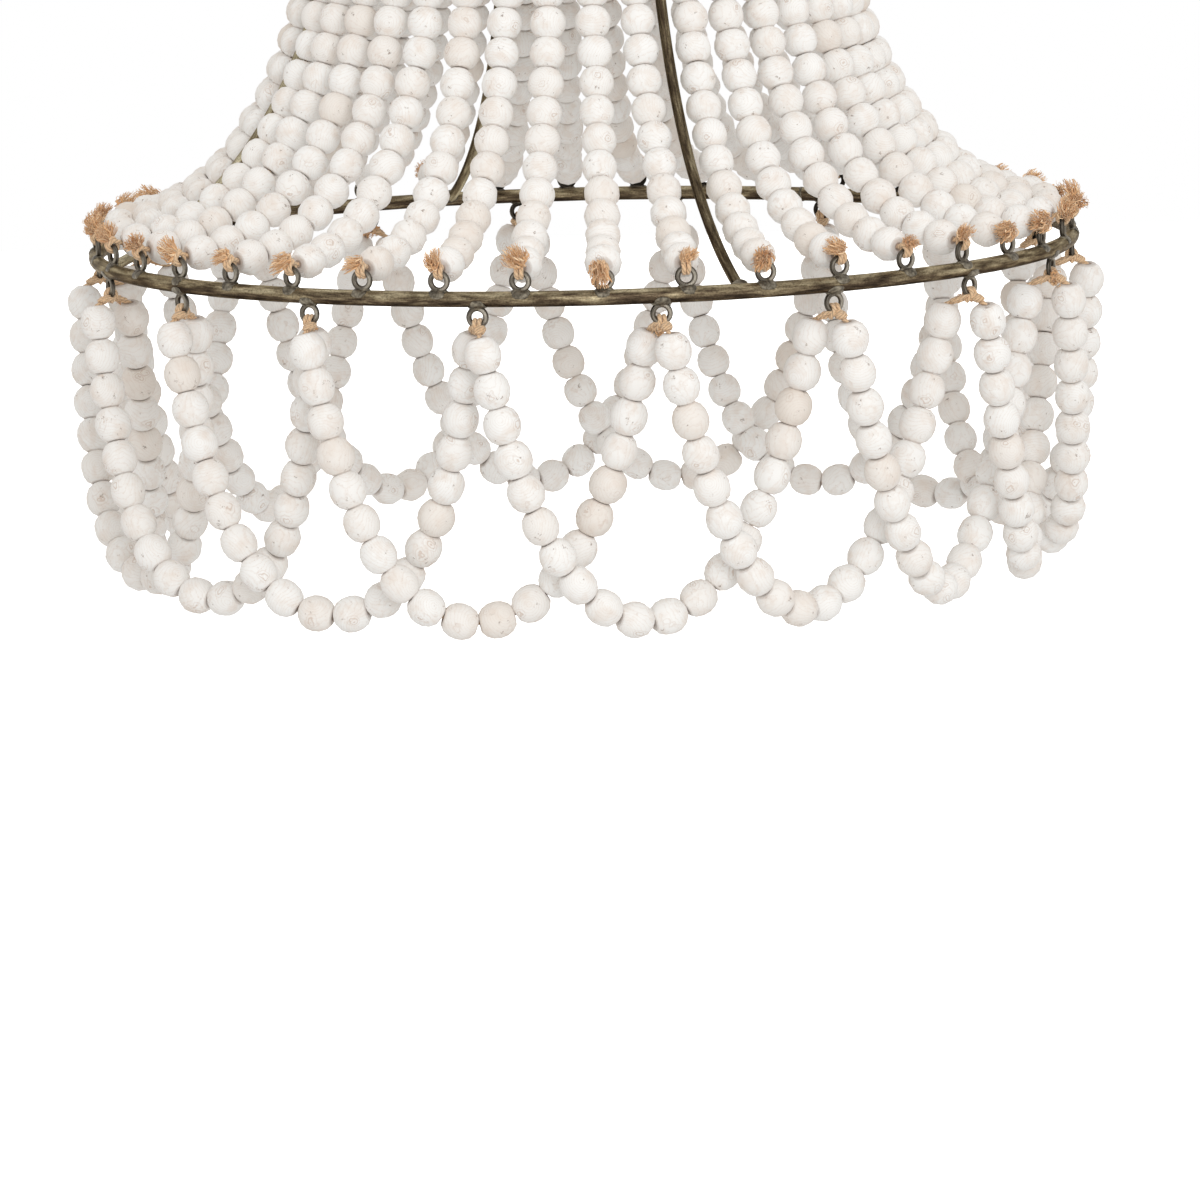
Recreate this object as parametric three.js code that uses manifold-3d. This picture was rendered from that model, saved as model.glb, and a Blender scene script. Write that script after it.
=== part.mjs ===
import * as THREE from 'three';
import { mergeVertices } from 'three/addons/utils/BufferGeometryUtils.js';
import Module from 'manifold-3d';

// A beaded chandelier: a bronze ring hung on four bent ribs from a smaller crown ring, strands of
// turned wooden beads from crown to ring, and a curtain of bead swags below the ring.
// Millimetres, +Z up. The origin is the middle of the ceiling bracket's top face.
// A bearing is counted in degrees from the front (-Y) towards +X.

// Rings, ribs and their round bar
const barDiameter = 8;
const lowerRingDiameter = 530;
const crownRingDiameter = 263;
const crownRise = 212;
const ribDiameter = 5.6;
const ribCount = 4;
const ribBearing = 17.2;

// Welded wire eyes on the lower ring
const eyeWireDiameter = 2.8;
const eyeHoleDiameter = 6;
const eyeWeldDepth = 0.8;
const strandsPerRib = 10;
const firstStrandBearing = 2.8;
const swagCount = 18;
const firstSwagBearing = 8.2;

// Wooden beads and the jute twine they are threaded on
const beadDiameter = 20;
const beadSpacing = 17.9;
const beadFaceDiameter = 11;
const beadCornerShare = 1.1;
const twineDiameter = 2.2;
const knotDiameter = 4.4;
const tuftDiameter = 7.6;

// Upper strands
const strandRise = 14.3;
const strandInset = 7;
const strandPitchAngle = 22.5;
const strandFootReach = 70;
const strandHeadReach = 90;
const ribGapAngle = 11;

// Ribs' bend
const ribPitchAngle = 34.6;
const ribFootReach = 155;
const ribHeadReach = 60;

// Swags
const swagBeads = 20;
const swagBeadSpacing = 18.3;
const swagInset = 4;
const swagAside = 4.8;
const swagDrop = 18.1;
const swagLean = 12;
const swagLeanPeakShare = 0.68;

// Crown hub, stem and lamps
const hubDiameter = 96;
const hubThickness = 5;
const hubArmWidth = 12;
const stemDiameter = 10;
const stemRise = 58;
const nutDiameter = 17;
const nutHeight = 6;
const lampCount = 3;
const lampCircleDiameter = 62;
const holderDiameter = 26;
const holderHeight = 30;
const holderRoof = 4;
const globeDiameter = 36;
const capDiameter = 14;
const neckShow = 2;

// Loops, chain and canopy
const loopDiameter = 20;
const loopWireDiameter = 4;
const collarDiameter = 16;
const collarHeight = 13;
const collarBoreDepth = 8;
const linkCount = 3;
const linkWireDiameter = 3.6;
const linkWidth = 15;
const linkLength = 31;
const canopyDiameter = 126;
const canopyHeight = 27;
const canopyWall = 1.8;
const canopyFootDiameter = 30;
const bracketLength = 104;
const bracketWidth = 24;
const bracketThickness = 4;
const bossDiameter = 20;
const bossHeight = 7;
const shankDiameter = 10;

// Clearances
const seatGap = 0.3;
const threadGap = 0.5;
const hookGap = 0.8;
const overrun = 1;

// How finely the round forms are divided
const stringSides = 3;
const barSides = 6;
const ringSteps = 40;
const eyeSides = 3;
const eyeSteps = 6;
const ribSteps = 12;
const ribSides = 6;
const turnedSteps = 20;
const lampSteps = 8;
const linkBendSteps = 4;
const canopyBendSteps = 5;
const catenaryHalvings = 50;

const manifold = await Module();
manifold.setup();

// Colours, taken as plain surface colours of bronze, whitewashed wood, porcelain and glass
const bronze = { color: 0x4a4337, roughness: 0.5, metalness: 0.9 };
const whitewash = { color: 0xf0ece6, roughness: 0.85, metalness: 0 };
const porcelain = { color: 0xece9e2, roughness: 0.35, metalness: 0 };
const frosted = { color: 0xf6f3ea, roughness: 0.4, metalness: 0 };

const radians = THREE.MathUtils.degToRad;
const up = new THREE.Vector3(0, 0, 1);

function outwardAt(bearing) {
  const angle = radians(bearing);
  return new THREE.Vector3(Math.sin(angle), -Math.cos(angle), 0);
}

function acrossAt(bearing) {
  const angle = radians(bearing);
  return new THREE.Vector3(Math.cos(angle), Math.sin(angle), 0);
}

// A place in the upright plane of a bearing, from its distance to the axis and its height
function placeAt(bearing, radius, height) {
  return outwardAt(bearing).multiplyScalar(radius).addScaledVector(up, height);
}

function addPiece(group, name, geometry, finish) {
  const mesh = new THREE.Mesh(geometry, new THREE.MeshStandardMaterial(finish));
  mesh.name = name;
  group.add(mesh);
  return mesh;
}

// A closed mesh as a solid that can be joined and cut
function solidOf(geometry) {
  const bare = geometry.clone();
  bare.deleteAttribute('normal');
  bare.deleteAttribute('uv');
  const merged = mergeVertices(bare, 1e-4);
  return new manifold.Manifold(new manifold.Mesh({
    numProp: 3,
    vertProperties: new Float32Array(merged.attributes.position.array),
    triVerts: new Uint32Array(merged.index.array),
  }));
}

function geometryOf(solid) {
  const mesh = solid.getMesh();
  const geometry = new THREE.BufferGeometry();
  geometry.setAttribute('position', new THREE.BufferAttribute(mesh.vertProperties, 3));
  geometry.setIndex(new THREE.BufferAttribute(mesh.triVerts, 1));
  geometry.computeVertexNormals();
  return geometry;
}

// The corners of one cross-section. Its first corner points to outside, turned by `turn` degrees.
function sectionCorners(section, sides) {
  const along = section.along.clone().normalize();
  const outside = section.outside.clone().addScaledVector(along, -section.outside.dot(along)).normalize();
  const beside = along.clone().cross(outside);
  const corners = [];
  for (let i = 0; i < sides; i += 1) {
    const angle = radians(section.turn ?? 0) + (2 * Math.PI * i) / sides;
    corners.push(section.at.clone()
      .addScaledVector(outside, section.radius * Math.cos(angle))
      .addScaledVector(beside, section.radius * Math.sin(angle)));
  }
  return corners;
}

// How far the next section's corners are best shifted, so that the skin between the two doesn't twist
function leastTwist(here, next, centreHere, centreNext) {
  let best = 0;
  let bestFit = -Infinity;
  for (let shift = 0; shift < here.length; shift += 1) {
    const fit = here.reduce((sum, corner, i) => {
      const partner = next[(i + shift) % next.length];
      return sum + corner.clone().sub(centreHere).dot(partner.clone().sub(centreNext));
    }, 0);
    if (fit > bestFit + 1e-6) {
      bestFit = fit;
      best = shift;
    }
  }
  return best;
}

// A skin through a row of cross-sections, closed by two end faces, or round on itself when looped
function loft(sections, sides, looped = false) {
  const rows = sections.map((section) => sectionCorners(section, sides));
  const positions = rows.flat().flatMap((corner) => corner.toArray());
  const faces = [];
  const last = looped ? rows.length : rows.length - 1;
  for (let row = 0; row < last; row += 1) {
    const other = (row + 1) % rows.length;
    const shift = leastTwist(rows[row], rows[other], sections[row].at, sections[other].at);
    for (let i = 0; i < sides; i += 1) {
      const next = (i + 1) % sides;
      const a = row * sides + i;
      const b = row * sides + next;
      const c = other * sides + (next + shift) % sides;
      const d = other * sides + (i + shift) % sides;
      const cornerOf = (index) => rows[Math.floor(index / sides)][index % sides];
      if (cornerOf(a).distanceTo(cornerOf(c)) <= cornerOf(b).distanceTo(cornerOf(d))) {
        faces.push(a, b, c, a, c, d);
      } else {
        faces.push(a, b, d, b, c, d);
      }
    }
  }
  if (!looped) {
    const end = (rows.length - 1) * sides;
    for (let i = 1; i < sides - 1; i += 1) {
      faces.push(0, i + 1, i);
      faces.push(end, end + i, end + i + 1);
    }
  }
  const geometry = new THREE.BufferGeometry();
  geometry.setAttribute('position', new THREE.Float32BufferAttribute(positions, 3));
  geometry.setIndex(faces);
  geometry.computeVertexNormals();
  return geometry;
}

// The same section passed through the other way
function reversed(section) {
  return { ...section, along: section.along.clone().negate() };
}

// Beads threaded end to end through a row of places: a narrow section where two end faces meet, a wide one
// at each bead's middle, the middle turned half a side so that each bead looks round
function beadSections(places, outside) {
  const sections = [];
  const last = places.length - 1;
  for (let i = 0; i <= last; i += 1) {
    const before = places[Math.max(i - 1, 0)];
    const after = places[Math.min(i + 1, last)];
    sections.push({
      at: places[i],
      along: after.clone().sub(before),
      outside,
      radius: beadFaceDiameter / 2,
      turn: 180 / stringSides,
    });
    if (i < last) {
      sections.push({
        at: places[i].clone().lerp(after, 1 / 2),
        along: after.clone().sub(places[i]),
        outside,
        radius: beadCorner,
      });
    }
  }
  return sections;
}

const ringRadius = lowerRingDiameter / 2;
const crownRadius = crownRingDiameter / 2;
const barRadius = barDiameter / 2;
const twineRadius = twineDiameter / 2;
const beadCorner = (beadDiameter / 2) * beadCornerShare;
const eyeRadius = (eyeHoleDiameter + eyeWireDiameter) / 2;
const eyeOuter = eyeHoleDiameter / 2 + eyeWireDiameter;
const eyeHeight = barRadius + eyeOuter - eyeWeldDepth;
const strandCount = ribCount * strandsPerRib;
const strandStep = 360 / strandCount;
const swagStep = 360 / swagCount;

// A round bar bent to a ring in the XY plane. Turn 90 puts a corner of its section on top, and 0 puts one
// on the outside.
function bentRing(radius, bearing, turn) {
  const sections = [];
  for (let i = 0; i < ringSteps; i += 1) {
    const angle = bearing + (360 / ringSteps) * i;
    sections.push({
      at: placeAt(angle, radius, 0),
      along: acrossAt(angle),
      outside: outwardAt(angle),
      radius: barRadius,
      turn,
    });
  }
  return loft(sections, barSides, true);
}

// Lower ring: the bent bar with forty eyes welded on top and eighteen beneath
function lowerRing() {
  let ring = solidOf(bentRing(ringRadius, ribBearing + firstStrandBearing, 90));
  const eye = new THREE.TorusGeometry(eyeRadius, eyeWireDiameter / 2, eyeSides, eyeSteps);
  eye.rotateZ(radians(90));
  eye.rotateX(radians(90));
  const weld = (bearing, height) => {
    const place = placeAt(bearing, ringRadius, height);
    const copy = eye.clone().rotateZ(radians(bearing)).translate(place.x, place.y, place.z);
    ring = ring.add(solidOf(copy));
  };
  for (let i = 0; i < strandCount; i += 1) {
    weld(ribBearing + firstStrandBearing + i * strandStep, eyeHeight);
  }
  for (let i = 0; i < swagCount; i += 1) {
    weld(firstSwagBearing + i * swagStep, -eyeHeight);
  }
  return geometryOf(ring);
}

function crownRing() {
  return bentRing(crownRadius, ribBearing, 0).translate(0, 0, crownRise);
}

// The line that a rib or a strand follows in its upright plane: it leaves its foot at the pitch angle
// and ends upright at its head
function flare(foot, head, pitch, footReach, headReach) {
  const direction = new THREE.Vector2(-Math.cos(radians(pitch)), Math.sin(radians(pitch)));
  return new THREE.CubicBezierCurve(
    foot,
    foot.clone().addScaledVector(direction, footReach),
    new THREE.Vector2(head.x, head.y - headReach),
    head,
  );
}

// A rib's foot butts on the inside of the lower ring's bar, and its head on the underside of the crown ring
class RibLine extends THREE.Curve {
  constructor() {
    super();
    const flatness = ringRadius * (1 - Math.cos(Math.PI / ringSteps));
    const reach = barRadius + seatGap + flatness;
    const pitch = radians(ribPitchAngle);
    const foot = new THREE.Vector2(ringRadius - reach * Math.cos(pitch), reach * Math.sin(pitch));
    const head = new THREE.Vector2(crownRadius, crownRise - barRadius - seatGap);
    this.profile = flare(foot, head, ribPitchAngle, ribFootReach, ribHeadReach);
  }

  getPoint(share, target = new THREE.Vector3()) {
    const point = this.profile.getPoint(share);
    return target.set(0, -point.x, point.y);
  }
}

function rib() {
  const corners = [];
  for (let i = 0; i < ribSides; i += 1) {
    const angle = (2 * Math.PI * i) / ribSides;
    corners.push(new THREE.Vector2(Math.cos(angle), Math.sin(angle)).multiplyScalar(ribDiameter / 2));
  }
  const options = { steps: ribSteps, extrudePath: new RibLine(), bevelEnabled: false };
  return new THREE.ExtrudeGeometry(new THREE.Shape(corners), options);
}

// One upper strand from its knot at the ring's eye up to the crown ring, as sections
const crownReach = barRadius + twineRadius + seatGap;
const strandLine = flare(
  new THREE.Vector2(ringRadius - strandInset, strandRise),
  new THREE.Vector2(crownRadius + crownReach, crownRise - crownReach),
  strandPitchAngle,
  strandFootReach,
  strandHeadReach,
);

function strandSections(foot, head) {
  const length = strandLine.getLength();
  const count = Math.floor(length / beadSpacing);
  const places = [];
  for (let i = 0; i <= count; i += 1) {
    const share = (i * beadSpacing) / length;
    const point = strandLine.getPointAt(share);
    const turned = 1 - (1 - share) ** 2;
    places.push(placeAt(foot + (head - foot) * turned, point.x, point.y));
  }
  const beads = beadSections(places, outwardAt(head).add(up));
  const outward = outwardAt(foot);
  const knotReach = eyeWireDiameter / 2 + twineRadius + threadGap;
  const tuftHeight = eyeHeight + eyeOuter + (tuftDiameter + twineDiameter) / 4;
  const thread = (reach, height, along, outside, radius) => ({
    at: placeAt(foot, ringRadius + reach, height),
    along,
    outside,
    radius,
  });
  return [
    thread(-knotReach, eyeHeight, outward, up, twineRadius),
    thread(knotReach, eyeHeight, outward.clone().add(up), outward, twineRadius),
    thread(knotReach, eyeHeight + eyeOuter, up, outward, twineRadius),
    thread(0, tuftHeight, outward.clone().negate(), up, tuftDiameter / 2),
    ...beads,
    { ...beads.at(-1), radius: twineRadius },
  ];
}

// The twine of one strand over the crown ring's bar, in steps parallel to the bar's sides, and then along
// the bar's inner side towards its partner
function crownHook(bearing, towards) {
  const sections = [];
  for (let i = 0; i <= barSides / 2; i += 1) {
    const angle = (2 * Math.PI * i) / barSides;
    const outside = placeAt(bearing, Math.cos(angle), Math.sin(angle));
    const along = placeAt(bearing, -Math.sin(angle), Math.cos(angle));
    const at = placeAt(bearing, crownRadius, crownRise).addScaledVector(outside, crownReach);
    sections.push({ at, along, outside, radius: twineRadius });
  }
  sections.at(-1).along.addScaledVector(acrossAt(bearing), towards);
  return sections;
}

// Two neighbouring strands on one twine, which runs along the inner side of the crown ring between them
function strandPair(footA, headA, footB, headB) {
  const rise = [...strandSections(footA, headA), ...crownHook(headA, 1)];
  const fall = [...strandSections(footB, headB), ...crownHook(headB, -1)];
  return loft([...rise, ...fall.reverse().map(reversed)], stringSides);
}

// The size of the catenary in which a line of a given half length hangs between two ends that are half a
// span from its middle. The span over that size is found by halving the room for it.
function catenarySize(halfSpan, halfLength) {
  const slack = halfLength / halfSpan;
  let low = 0;
  let high = 2 * slack;
  for (let i = 0; i < catenaryHalvings; i += 1) {
    const middle = (low + high) / 2;
    if (Math.sinh(middle) / middle < slack) {
      low = middle;
    } else {
      high = middle;
    }
  }
  return halfSpan / high;
}

// One swag's bead ends in its own frame: x to the right along the line between its two eyes, y inwards and
// z up from the ring's plane. Its left half leans outwards over one neighbour, and its right half inwards
// under the other. The whole row hangs a little aside, so that its first bead is almost below its eye.
function swagPlaces(halfSpan) {
  const halfLength = (swagBeads * swagBeadSpacing) / 2;
  const size = catenarySize(halfSpan, halfLength);
  const places = [];
  for (let i = 0; i <= swagBeads; i += 1) {
    const x = size * Math.asinh((i * swagBeadSpacing - halfLength) / size);
    const y = swagLean * Math.sin((Math.PI / 2) * (x / (halfSpan * swagLeanPeakShare)));
    const z = size * (Math.cosh(x / size) - Math.cosh(halfSpan / size)) - swagDrop;
    places.push(new THREE.Vector3(x - swagAside, y, z));
  }
  return places;
}

// A swag's twine through one eye, over its lowest wire: a knot on one side of the wire, and on the other
// the leg to the first bead. Side -1 is the left eye, with its leg outside, and 1 the right eye.
function swagEnd(side) {
  const turn = radians(swagStep) * side;
  const eye = new THREE.Vector3(ringRadius * Math.sin(turn), 0, 0);
  const legward = new THREE.Vector3(Math.sin(turn), -Math.cos(turn), 0).multiplyScalar(-side);
  const beadward = new THREE.Vector3(Math.cos(turn), Math.sin(turn), 0).multiplyScalar(-side);
  const legReach = eyeWireDiameter / 2 + twineRadius + threadGap;
  const overWire = eyeHeight + eyeRadius - eyeWireDiameter / 2 - twineRadius - hookGap;
  const beside = twineRadius + threadGap;
  const thread = (across, reach, drop, along, outside, radius) => {
    const at = eye.clone().addScaledVector(beadward, across).addScaledVector(legward, reach);
    at.z -= drop;
    return { at, along, outside, radius };
  };
  const down = up.clone().negate();
  const away = legward.clone().negate();
  const knotDrop = overWire + hookGap + knotDiameter;
  const knotBeside = beside + (knotDiameter - twineDiameter) / 4;
  return [
    thread(knotBeside, -legReach, knotDrop, up, away, knotDiameter / 2),
    thread(beside, -legReach, overWire + hookGap, up, away, twineRadius),
    thread(beside, 0, overWire, legward, up, twineRadius),
    thread(beside, legReach, overWire + hookGap, down, legward, twineRadius),
  ];
}

function swag() {
  const halfSpan = ringRadius * Math.sin(radians(swagStep)) - swagInset;
  const beads = beadSections(swagPlaces(halfSpan), new THREE.Vector3(0, -1, 0));
  const twineAt = (section) => ({ ...section, radius: twineRadius });
  return loft([
    ...swagEnd(-1),
    twineAt(beads[0]),
    ...beads,
    twineAt(beads.at(-1)),
    ...swagEnd(1).reverse().map(reversed),
  ], stringSides);
}

// Crown hub: a plate with a threaded hole for the stem and four arms to the crown ring
function crownHub() {
  const plate = new THREE.CylinderGeometry(hubDiameter / 2, hubDiameter / 2, hubThickness, turnedSteps);
  plate.rotateX(radians(90));
  let hub = solidOf(plate);
  const armEnd = (crownRadius - barRadius) * Math.cos(Math.PI / ringSteps) - seatGap;
  const armStart = (hubDiameter - hubArmWidth) / 2;
  for (let i = 0; i < ribCount; i += 1) {
    const arm = new THREE.BoxGeometry(hubArmWidth, armEnd - armStart, hubThickness);
    arm.translate(0, -(armEnd + armStart) / 2, 0);
    arm.rotateZ(radians(ribBearing + (360 / ribCount) * i));
    hub = hub.add(solidOf(arm));
  }
  const boreRadius = stemDiameter / 2 + seatGap;
  const bore = new THREE.CylinderGeometry(boreRadius, boreRadius, hubThickness + 2 * overrun, turnedSteps);
  bore.rotateX(radians(90));
  return geometryOf(hub.subtract(solidOf(bore))).translate(0, 0, crownRise);
}

// A turned piece from its outline, given as [radius, height] pairs that start and end on the axis
function turned(outline, steps) {
  const points = outline.map(([radius, height]) => new THREE.Vector2(radius, height));
  return new THREE.LatheGeometry(points, steps).rotateX(radians(90));
}

// Stem with the nut that holds the hub up on it
function stem() {
  const nutTop = crownRise - hubThickness / 2 - seatGap;
  return turned([
    [0, nutTop - nutHeight],
    [nutDiameter / 2, nutTop - nutHeight],
    [nutDiameter / 2, nutTop],
    [stemDiameter / 2, nutTop],
    [stemDiameter / 2, crownRise + stemRise],
    [0, crownRise + stemRise],
  ], barSides * 2);
}

// A lampholder: a cup open downwards, hung under the hub
function lampholder() {
  const top = crownRise - hubThickness / 2 - seatGap;
  const outer = holderDiameter / 2;
  const inner = capDiameter / 2 + seatGap;
  return turned([
    [0, top - holderRoof],
    [inner, top - holderRoof],
    [inner, top - holderHeight],
    [outer, top - holderHeight],
    [outer, top],
    [0, top],
  ], lampSteps * 2);
}

// A small globe bulb, its cap inside the lampholder
function bulb() {
  const top = crownRise - hubThickness / 2 - 2 * seatGap - holderRoof;
  const neck = capDiameter / 2;
  const globe = globeDiameter / 2;
  const neckLength = holderHeight - holderRoof - seatGap + neckShow;
  const middle = top - neckLength - Math.sqrt(globe * globe - neck * neck);
  const outline = [];
  const start = -Math.PI / 2;
  const end = Math.acos(neck / globe);
  for (let i = 0; i <= lampSteps; i += 1) {
    const angle = start + ((end - start) * i) / lampSteps;
    outline.push([i === 0 ? 0 : globe * Math.cos(angle), middle + globe * Math.sin(angle)]);
  }
  outline.push([neck, top], [0, top]);
  return turned(outline, lampSteps);
}

// A cast loop in the XZ plane on a collar, which has a bore from below for what screws in, or none
function collarLoop(boreRadius = 0) {
  const ring = new THREE.TorusGeometry(loopDiameter / 2, loopWireDiameter / 2, barSides, turnedSteps);
  ring.rotateX(radians(90));
  const top = -loopDiameter / 2;
  const bottom = top - collarHeight;
  const bore = [
    [0, bottom + collarBoreDepth],
    [boreRadius, bottom + collarBoreDepth],
    [boreRadius, bottom],
  ];
  const collar = turned([
    ...(boreRadius > 0 ? bore : [[0, bottom]]),
    [collarDiameter / 2, bottom],
    [collarDiameter / 2, (top + bottom) / 2],
    [loopWireDiameter, top],
    [0, top],
  ], barSides * 2);
  return solidOf(ring).add(solidOf(collar));
}

// A chain link: an oval of round wire in the XZ plane, centred on its own middle
function chainLink() {
  const bend = (linkWidth - linkWireDiameter) / 2;
  const straight = linkLength - linkWidth;
  const sections = [];
  for (let half = 0; half < 2; half += 1) {
    const sign = half === 0 ? 1 : -1;
    for (let i = 0; i <= linkBendSteps; i += 1) {
      const angle = Math.PI * (half + i / linkBendSteps);
      const outside = new THREE.Vector3(Math.cos(angle), 0, Math.sin(angle));
      sections.push({
        at: outside.clone().multiplyScalar(bend).addScaledVector(up, (sign * straight) / 2),
        along: new THREE.Vector3(-Math.sin(angle), 0, Math.cos(angle)),
        outside,
        radius: linkWireDiameter / 2,
      });
    }
  }
  return loft(sections, barSides, true);
}

// Canopy: a spun dish with its rim up against the ceiling and a hole for the loop's shank
function canopy() {
  const rim = canopyDiameter / 2;
  const foot = canopyFootDiameter / 2;
  const hole = shankDiameter / 2 + seatGap;
  const depth = canopyHeight - canopyWall;
  const outside = [];
  const inside = [];
  for (let i = 0; i <= canopyBendSteps; i += 1) {
    const share = i / canopyBendSteps;
    const angle = (Math.PI / 2) * share;
    const reach = Math.cos(angle);
    const inner = -depth * Math.sin(angle);
    outside.push([foot + (rim - foot) * reach, inner - canopyWall * share]);
    inside.push([foot + (rim - canopyWall - foot) * reach, inner]);
  }
  const outline = [...inside, [hole, -depth], [hole, -canopyHeight], ...outside.reverse(), inside[0]];
  return turned(outline, turnedSteps);
}

// Ceiling bracket: a flat bar with a tapped boss under its middle
function ceilingBracket() {
  const bar = new THREE.BoxGeometry(bracketLength, bracketWidth, bracketThickness);
  bar.translate(0, 0, -bracketThickness / 2);
  const bossLength = bossHeight + bracketThickness / 2;
  const boss = new THREE.CylinderGeometry(bossDiameter / 2, bossDiameter / 2, bossLength, turnedSteps);
  boss.rotateX(radians(90)).translate(0, 0, bossLength / 2 - bossHeight - bracketThickness);
  const holeRadius = shankDiameter / 2 + seatGap;
  const hole = new THREE.CylinderGeometry(holeRadius, holeRadius, bossHeight + overrun, turnedSteps);
  hole.rotateX(radians(90)).translate(0, 0, -bracketThickness - (bossHeight + overrun) / 2);
  return geometryOf(solidOf(bar).add(solidOf(boss)).subtract(solidOf(hole)));
}

// The canopy's loop: turned upside down, with a shank through the canopy into the bracket's boss
function canopyLoop() {
  const loop = collarLoop().rotate([180, 0, 0]);
  const collarTop = loopDiameter / 2 + collarHeight;
  const shankLength = canopyHeight - bracketThickness + overrun;
  const shank = new THREE.CylinderGeometry(shankDiameter / 2, shankDiameter / 2, shankLength, barSides * 2);
  shank.rotateX(radians(90)).translate(0, 0, collarTop - overrun + shankLength / 2);
  return geometryOf(loop.add(solidOf(shank)));
}

const chandelier = new THREE.Group();
const loopRise = loopDiameter / 2 + collarHeight;
const loopMiddle = -canopyHeight - seatGap - loopRise;
addPiece(chandelier, 'ceiling_bracket', ceilingBracket(), bronze);
addPiece(chandelier, 'canopy', canopy(), bronze);
addPiece(chandelier, 'canopy_loop', canopyLoop(), bronze).position.z = loopMiddle;

// Each link's upper bend rests on the lower bend of the one above it
const linkHeight = linkLength - linkWireDiameter;
const loopHook = (loopWireDiameter + linkWireDiameter) / 2 + seatGap;
const linkHook = linkWireDiameter + seatGap;
let hangingPoint = loopMiddle - loopDiameter / 2;
let hook = loopHook;
for (let i = 1; i <= linkCount; i += 1) {
  const link = addPiece(chandelier, `link_${i}`, chainLink(), bronze);
  link.position.z = hangingPoint + hook - linkHeight / 2;
  link.rotation.z = radians(i % 2 === 1 ? 90 : 0);
  hangingPoint = link.position.z - linkHeight / 2;
  hook = linkHook;
}
const topLoopMiddle = hangingPoint + loopHook - loopDiameter / 2;

const stemTop = topLoopMiddle - loopRise + collarBoreDepth - seatGap;
const fixture = new THREE.Group();
fixture.position.z = stemTop - stemRise - crownRise;
chandelier.add(fixture);

const topLoop = geometryOf(collarLoop(stemDiameter / 2 + seatGap));
addPiece(chandelier, 'top_loop', topLoop, bronze).position.z = topLoopMiddle;
addPiece(fixture, 'stem', stem(), bronze);
addPiece(fixture, 'crown_hub', crownHub(), bronze);
addPiece(fixture, 'crown_ring', crownRing(), bronze);
addPiece(fixture, 'lower_ring', lowerRing(), bronze);

for (let i = 0; i < ribCount; i += 1) {
  const bearing = ribBearing + (360 / ribCount) * i;
  addPiece(fixture, `rib_${i + 1}`, rib(), bronze).rotation.z = radians(bearing);
}

for (let i = 0; i < lampCount; i += 1) {
  const place = placeAt(ribBearing + (360 / lampCount) * (i + 1 / 2), lampCircleDiameter / 2, 0);
  addPiece(fixture, `lampholder_${i + 1}`, lampholder(), porcelain).position.copy(place);
  addPiece(fixture, `bulb_${i + 1}`, bulb(), frosted).position.copy(place);
}

// Ten strands between two ribs: evenly spaced eyes at the ring, and a wider gap for the rib at the crown
const pairsPerRib = strandsPerRib / 2;
const crownStep = (360 / ribCount - ribGapAngle) / (strandsPerRib - 1);
for (let i = 0; i < ribCount * pairsPerRib; i += 1) {
  const sector = Math.floor(i / pairsPerRib);
  const first = 2 * (i % pairsPerRib);
  const start = ribBearing + (360 / ribCount) * sector;
  const foot = (index) => start + firstStrandBearing + strandStep * index;
  const head = (index) => start + ribGapAngle / 2 + crownStep * index;
  const pair = strandPair(foot(first), head(first), foot(first + 1), head(first + 1));
  addPiece(fixture, `strand_pair_${i + 1}`, pair, whitewash);
}

for (let i = 0; i < swagCount; i += 1) {
  const bearing = firstSwagBearing + swagStep * i;
  const piece = addPiece(fixture, `swag_${i + 1}`, swag(), whitewash);
  piece.position.copy(placeAt(bearing, ringRadius * Math.cos(radians(swagStep)), 0));
  piece.rotation.z = radians(bearing);
}

export default chandelier;
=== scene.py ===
import random
from math import asinh, atan2, cos, cosh, pi, radians, sin, sinh, sqrt, tau

import bmesh
import bpy
from mathutils import Matrix, Vector, noise


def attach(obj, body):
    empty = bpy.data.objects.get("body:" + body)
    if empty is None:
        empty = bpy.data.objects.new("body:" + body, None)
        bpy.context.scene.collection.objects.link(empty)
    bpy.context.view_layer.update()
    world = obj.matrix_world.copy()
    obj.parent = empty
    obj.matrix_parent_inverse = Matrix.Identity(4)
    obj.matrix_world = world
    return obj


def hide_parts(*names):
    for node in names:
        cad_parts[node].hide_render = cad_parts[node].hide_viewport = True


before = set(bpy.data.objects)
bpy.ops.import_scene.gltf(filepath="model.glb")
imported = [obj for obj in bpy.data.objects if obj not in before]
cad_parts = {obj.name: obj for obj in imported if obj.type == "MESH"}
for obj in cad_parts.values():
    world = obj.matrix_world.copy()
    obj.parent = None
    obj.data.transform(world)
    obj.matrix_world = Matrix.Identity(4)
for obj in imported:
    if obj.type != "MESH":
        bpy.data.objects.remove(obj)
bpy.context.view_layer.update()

# Lower ring. A round steel bar, rolled to a circle and welded closed, with forty wire eyes welded on top
# for the upper strands and eighteen underneath for the swags. Antique bronze over the steel, worn to olive
# gold in streaks along the bar, with the welds left grey; the bar's upper side is painted paler, as light
# from above. Lengths here and below are in millimetres.
MM = 0.001
RING_PLANE = -421.8
RING_RADIUS = 265
BAR_RADIUS = 4
BAR_UNEVEN = 0.12
BAR_SEAM = 151
RIB_BEARING = 17.2
RIB_COUNT = 4
STRANDS_PER_RIB = 10
FIRST_STRAND = 2.8
FIRST_SWAG = 8.2
SWAG_COUNT = 18
EYE_RADIUS = 4.4
EYE_WIRE = 1.4
EYE_HEIGHT = 9


def eye_frame(bearing, radius=0.0, height=0.0):
    """Across, outwards and up, at a bearing from the front, a distance out and a height over the ring."""
    turn = radians(bearing)
    frame_here = Matrix.Rotation(turn, 4, "Z") @ Matrix.Diagonal((1, -1, 1, 1))
    frame_here.translation = (radius * sin(turn), -radius * cos(turn), RING_PLANE + height)
    return frame_here


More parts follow.
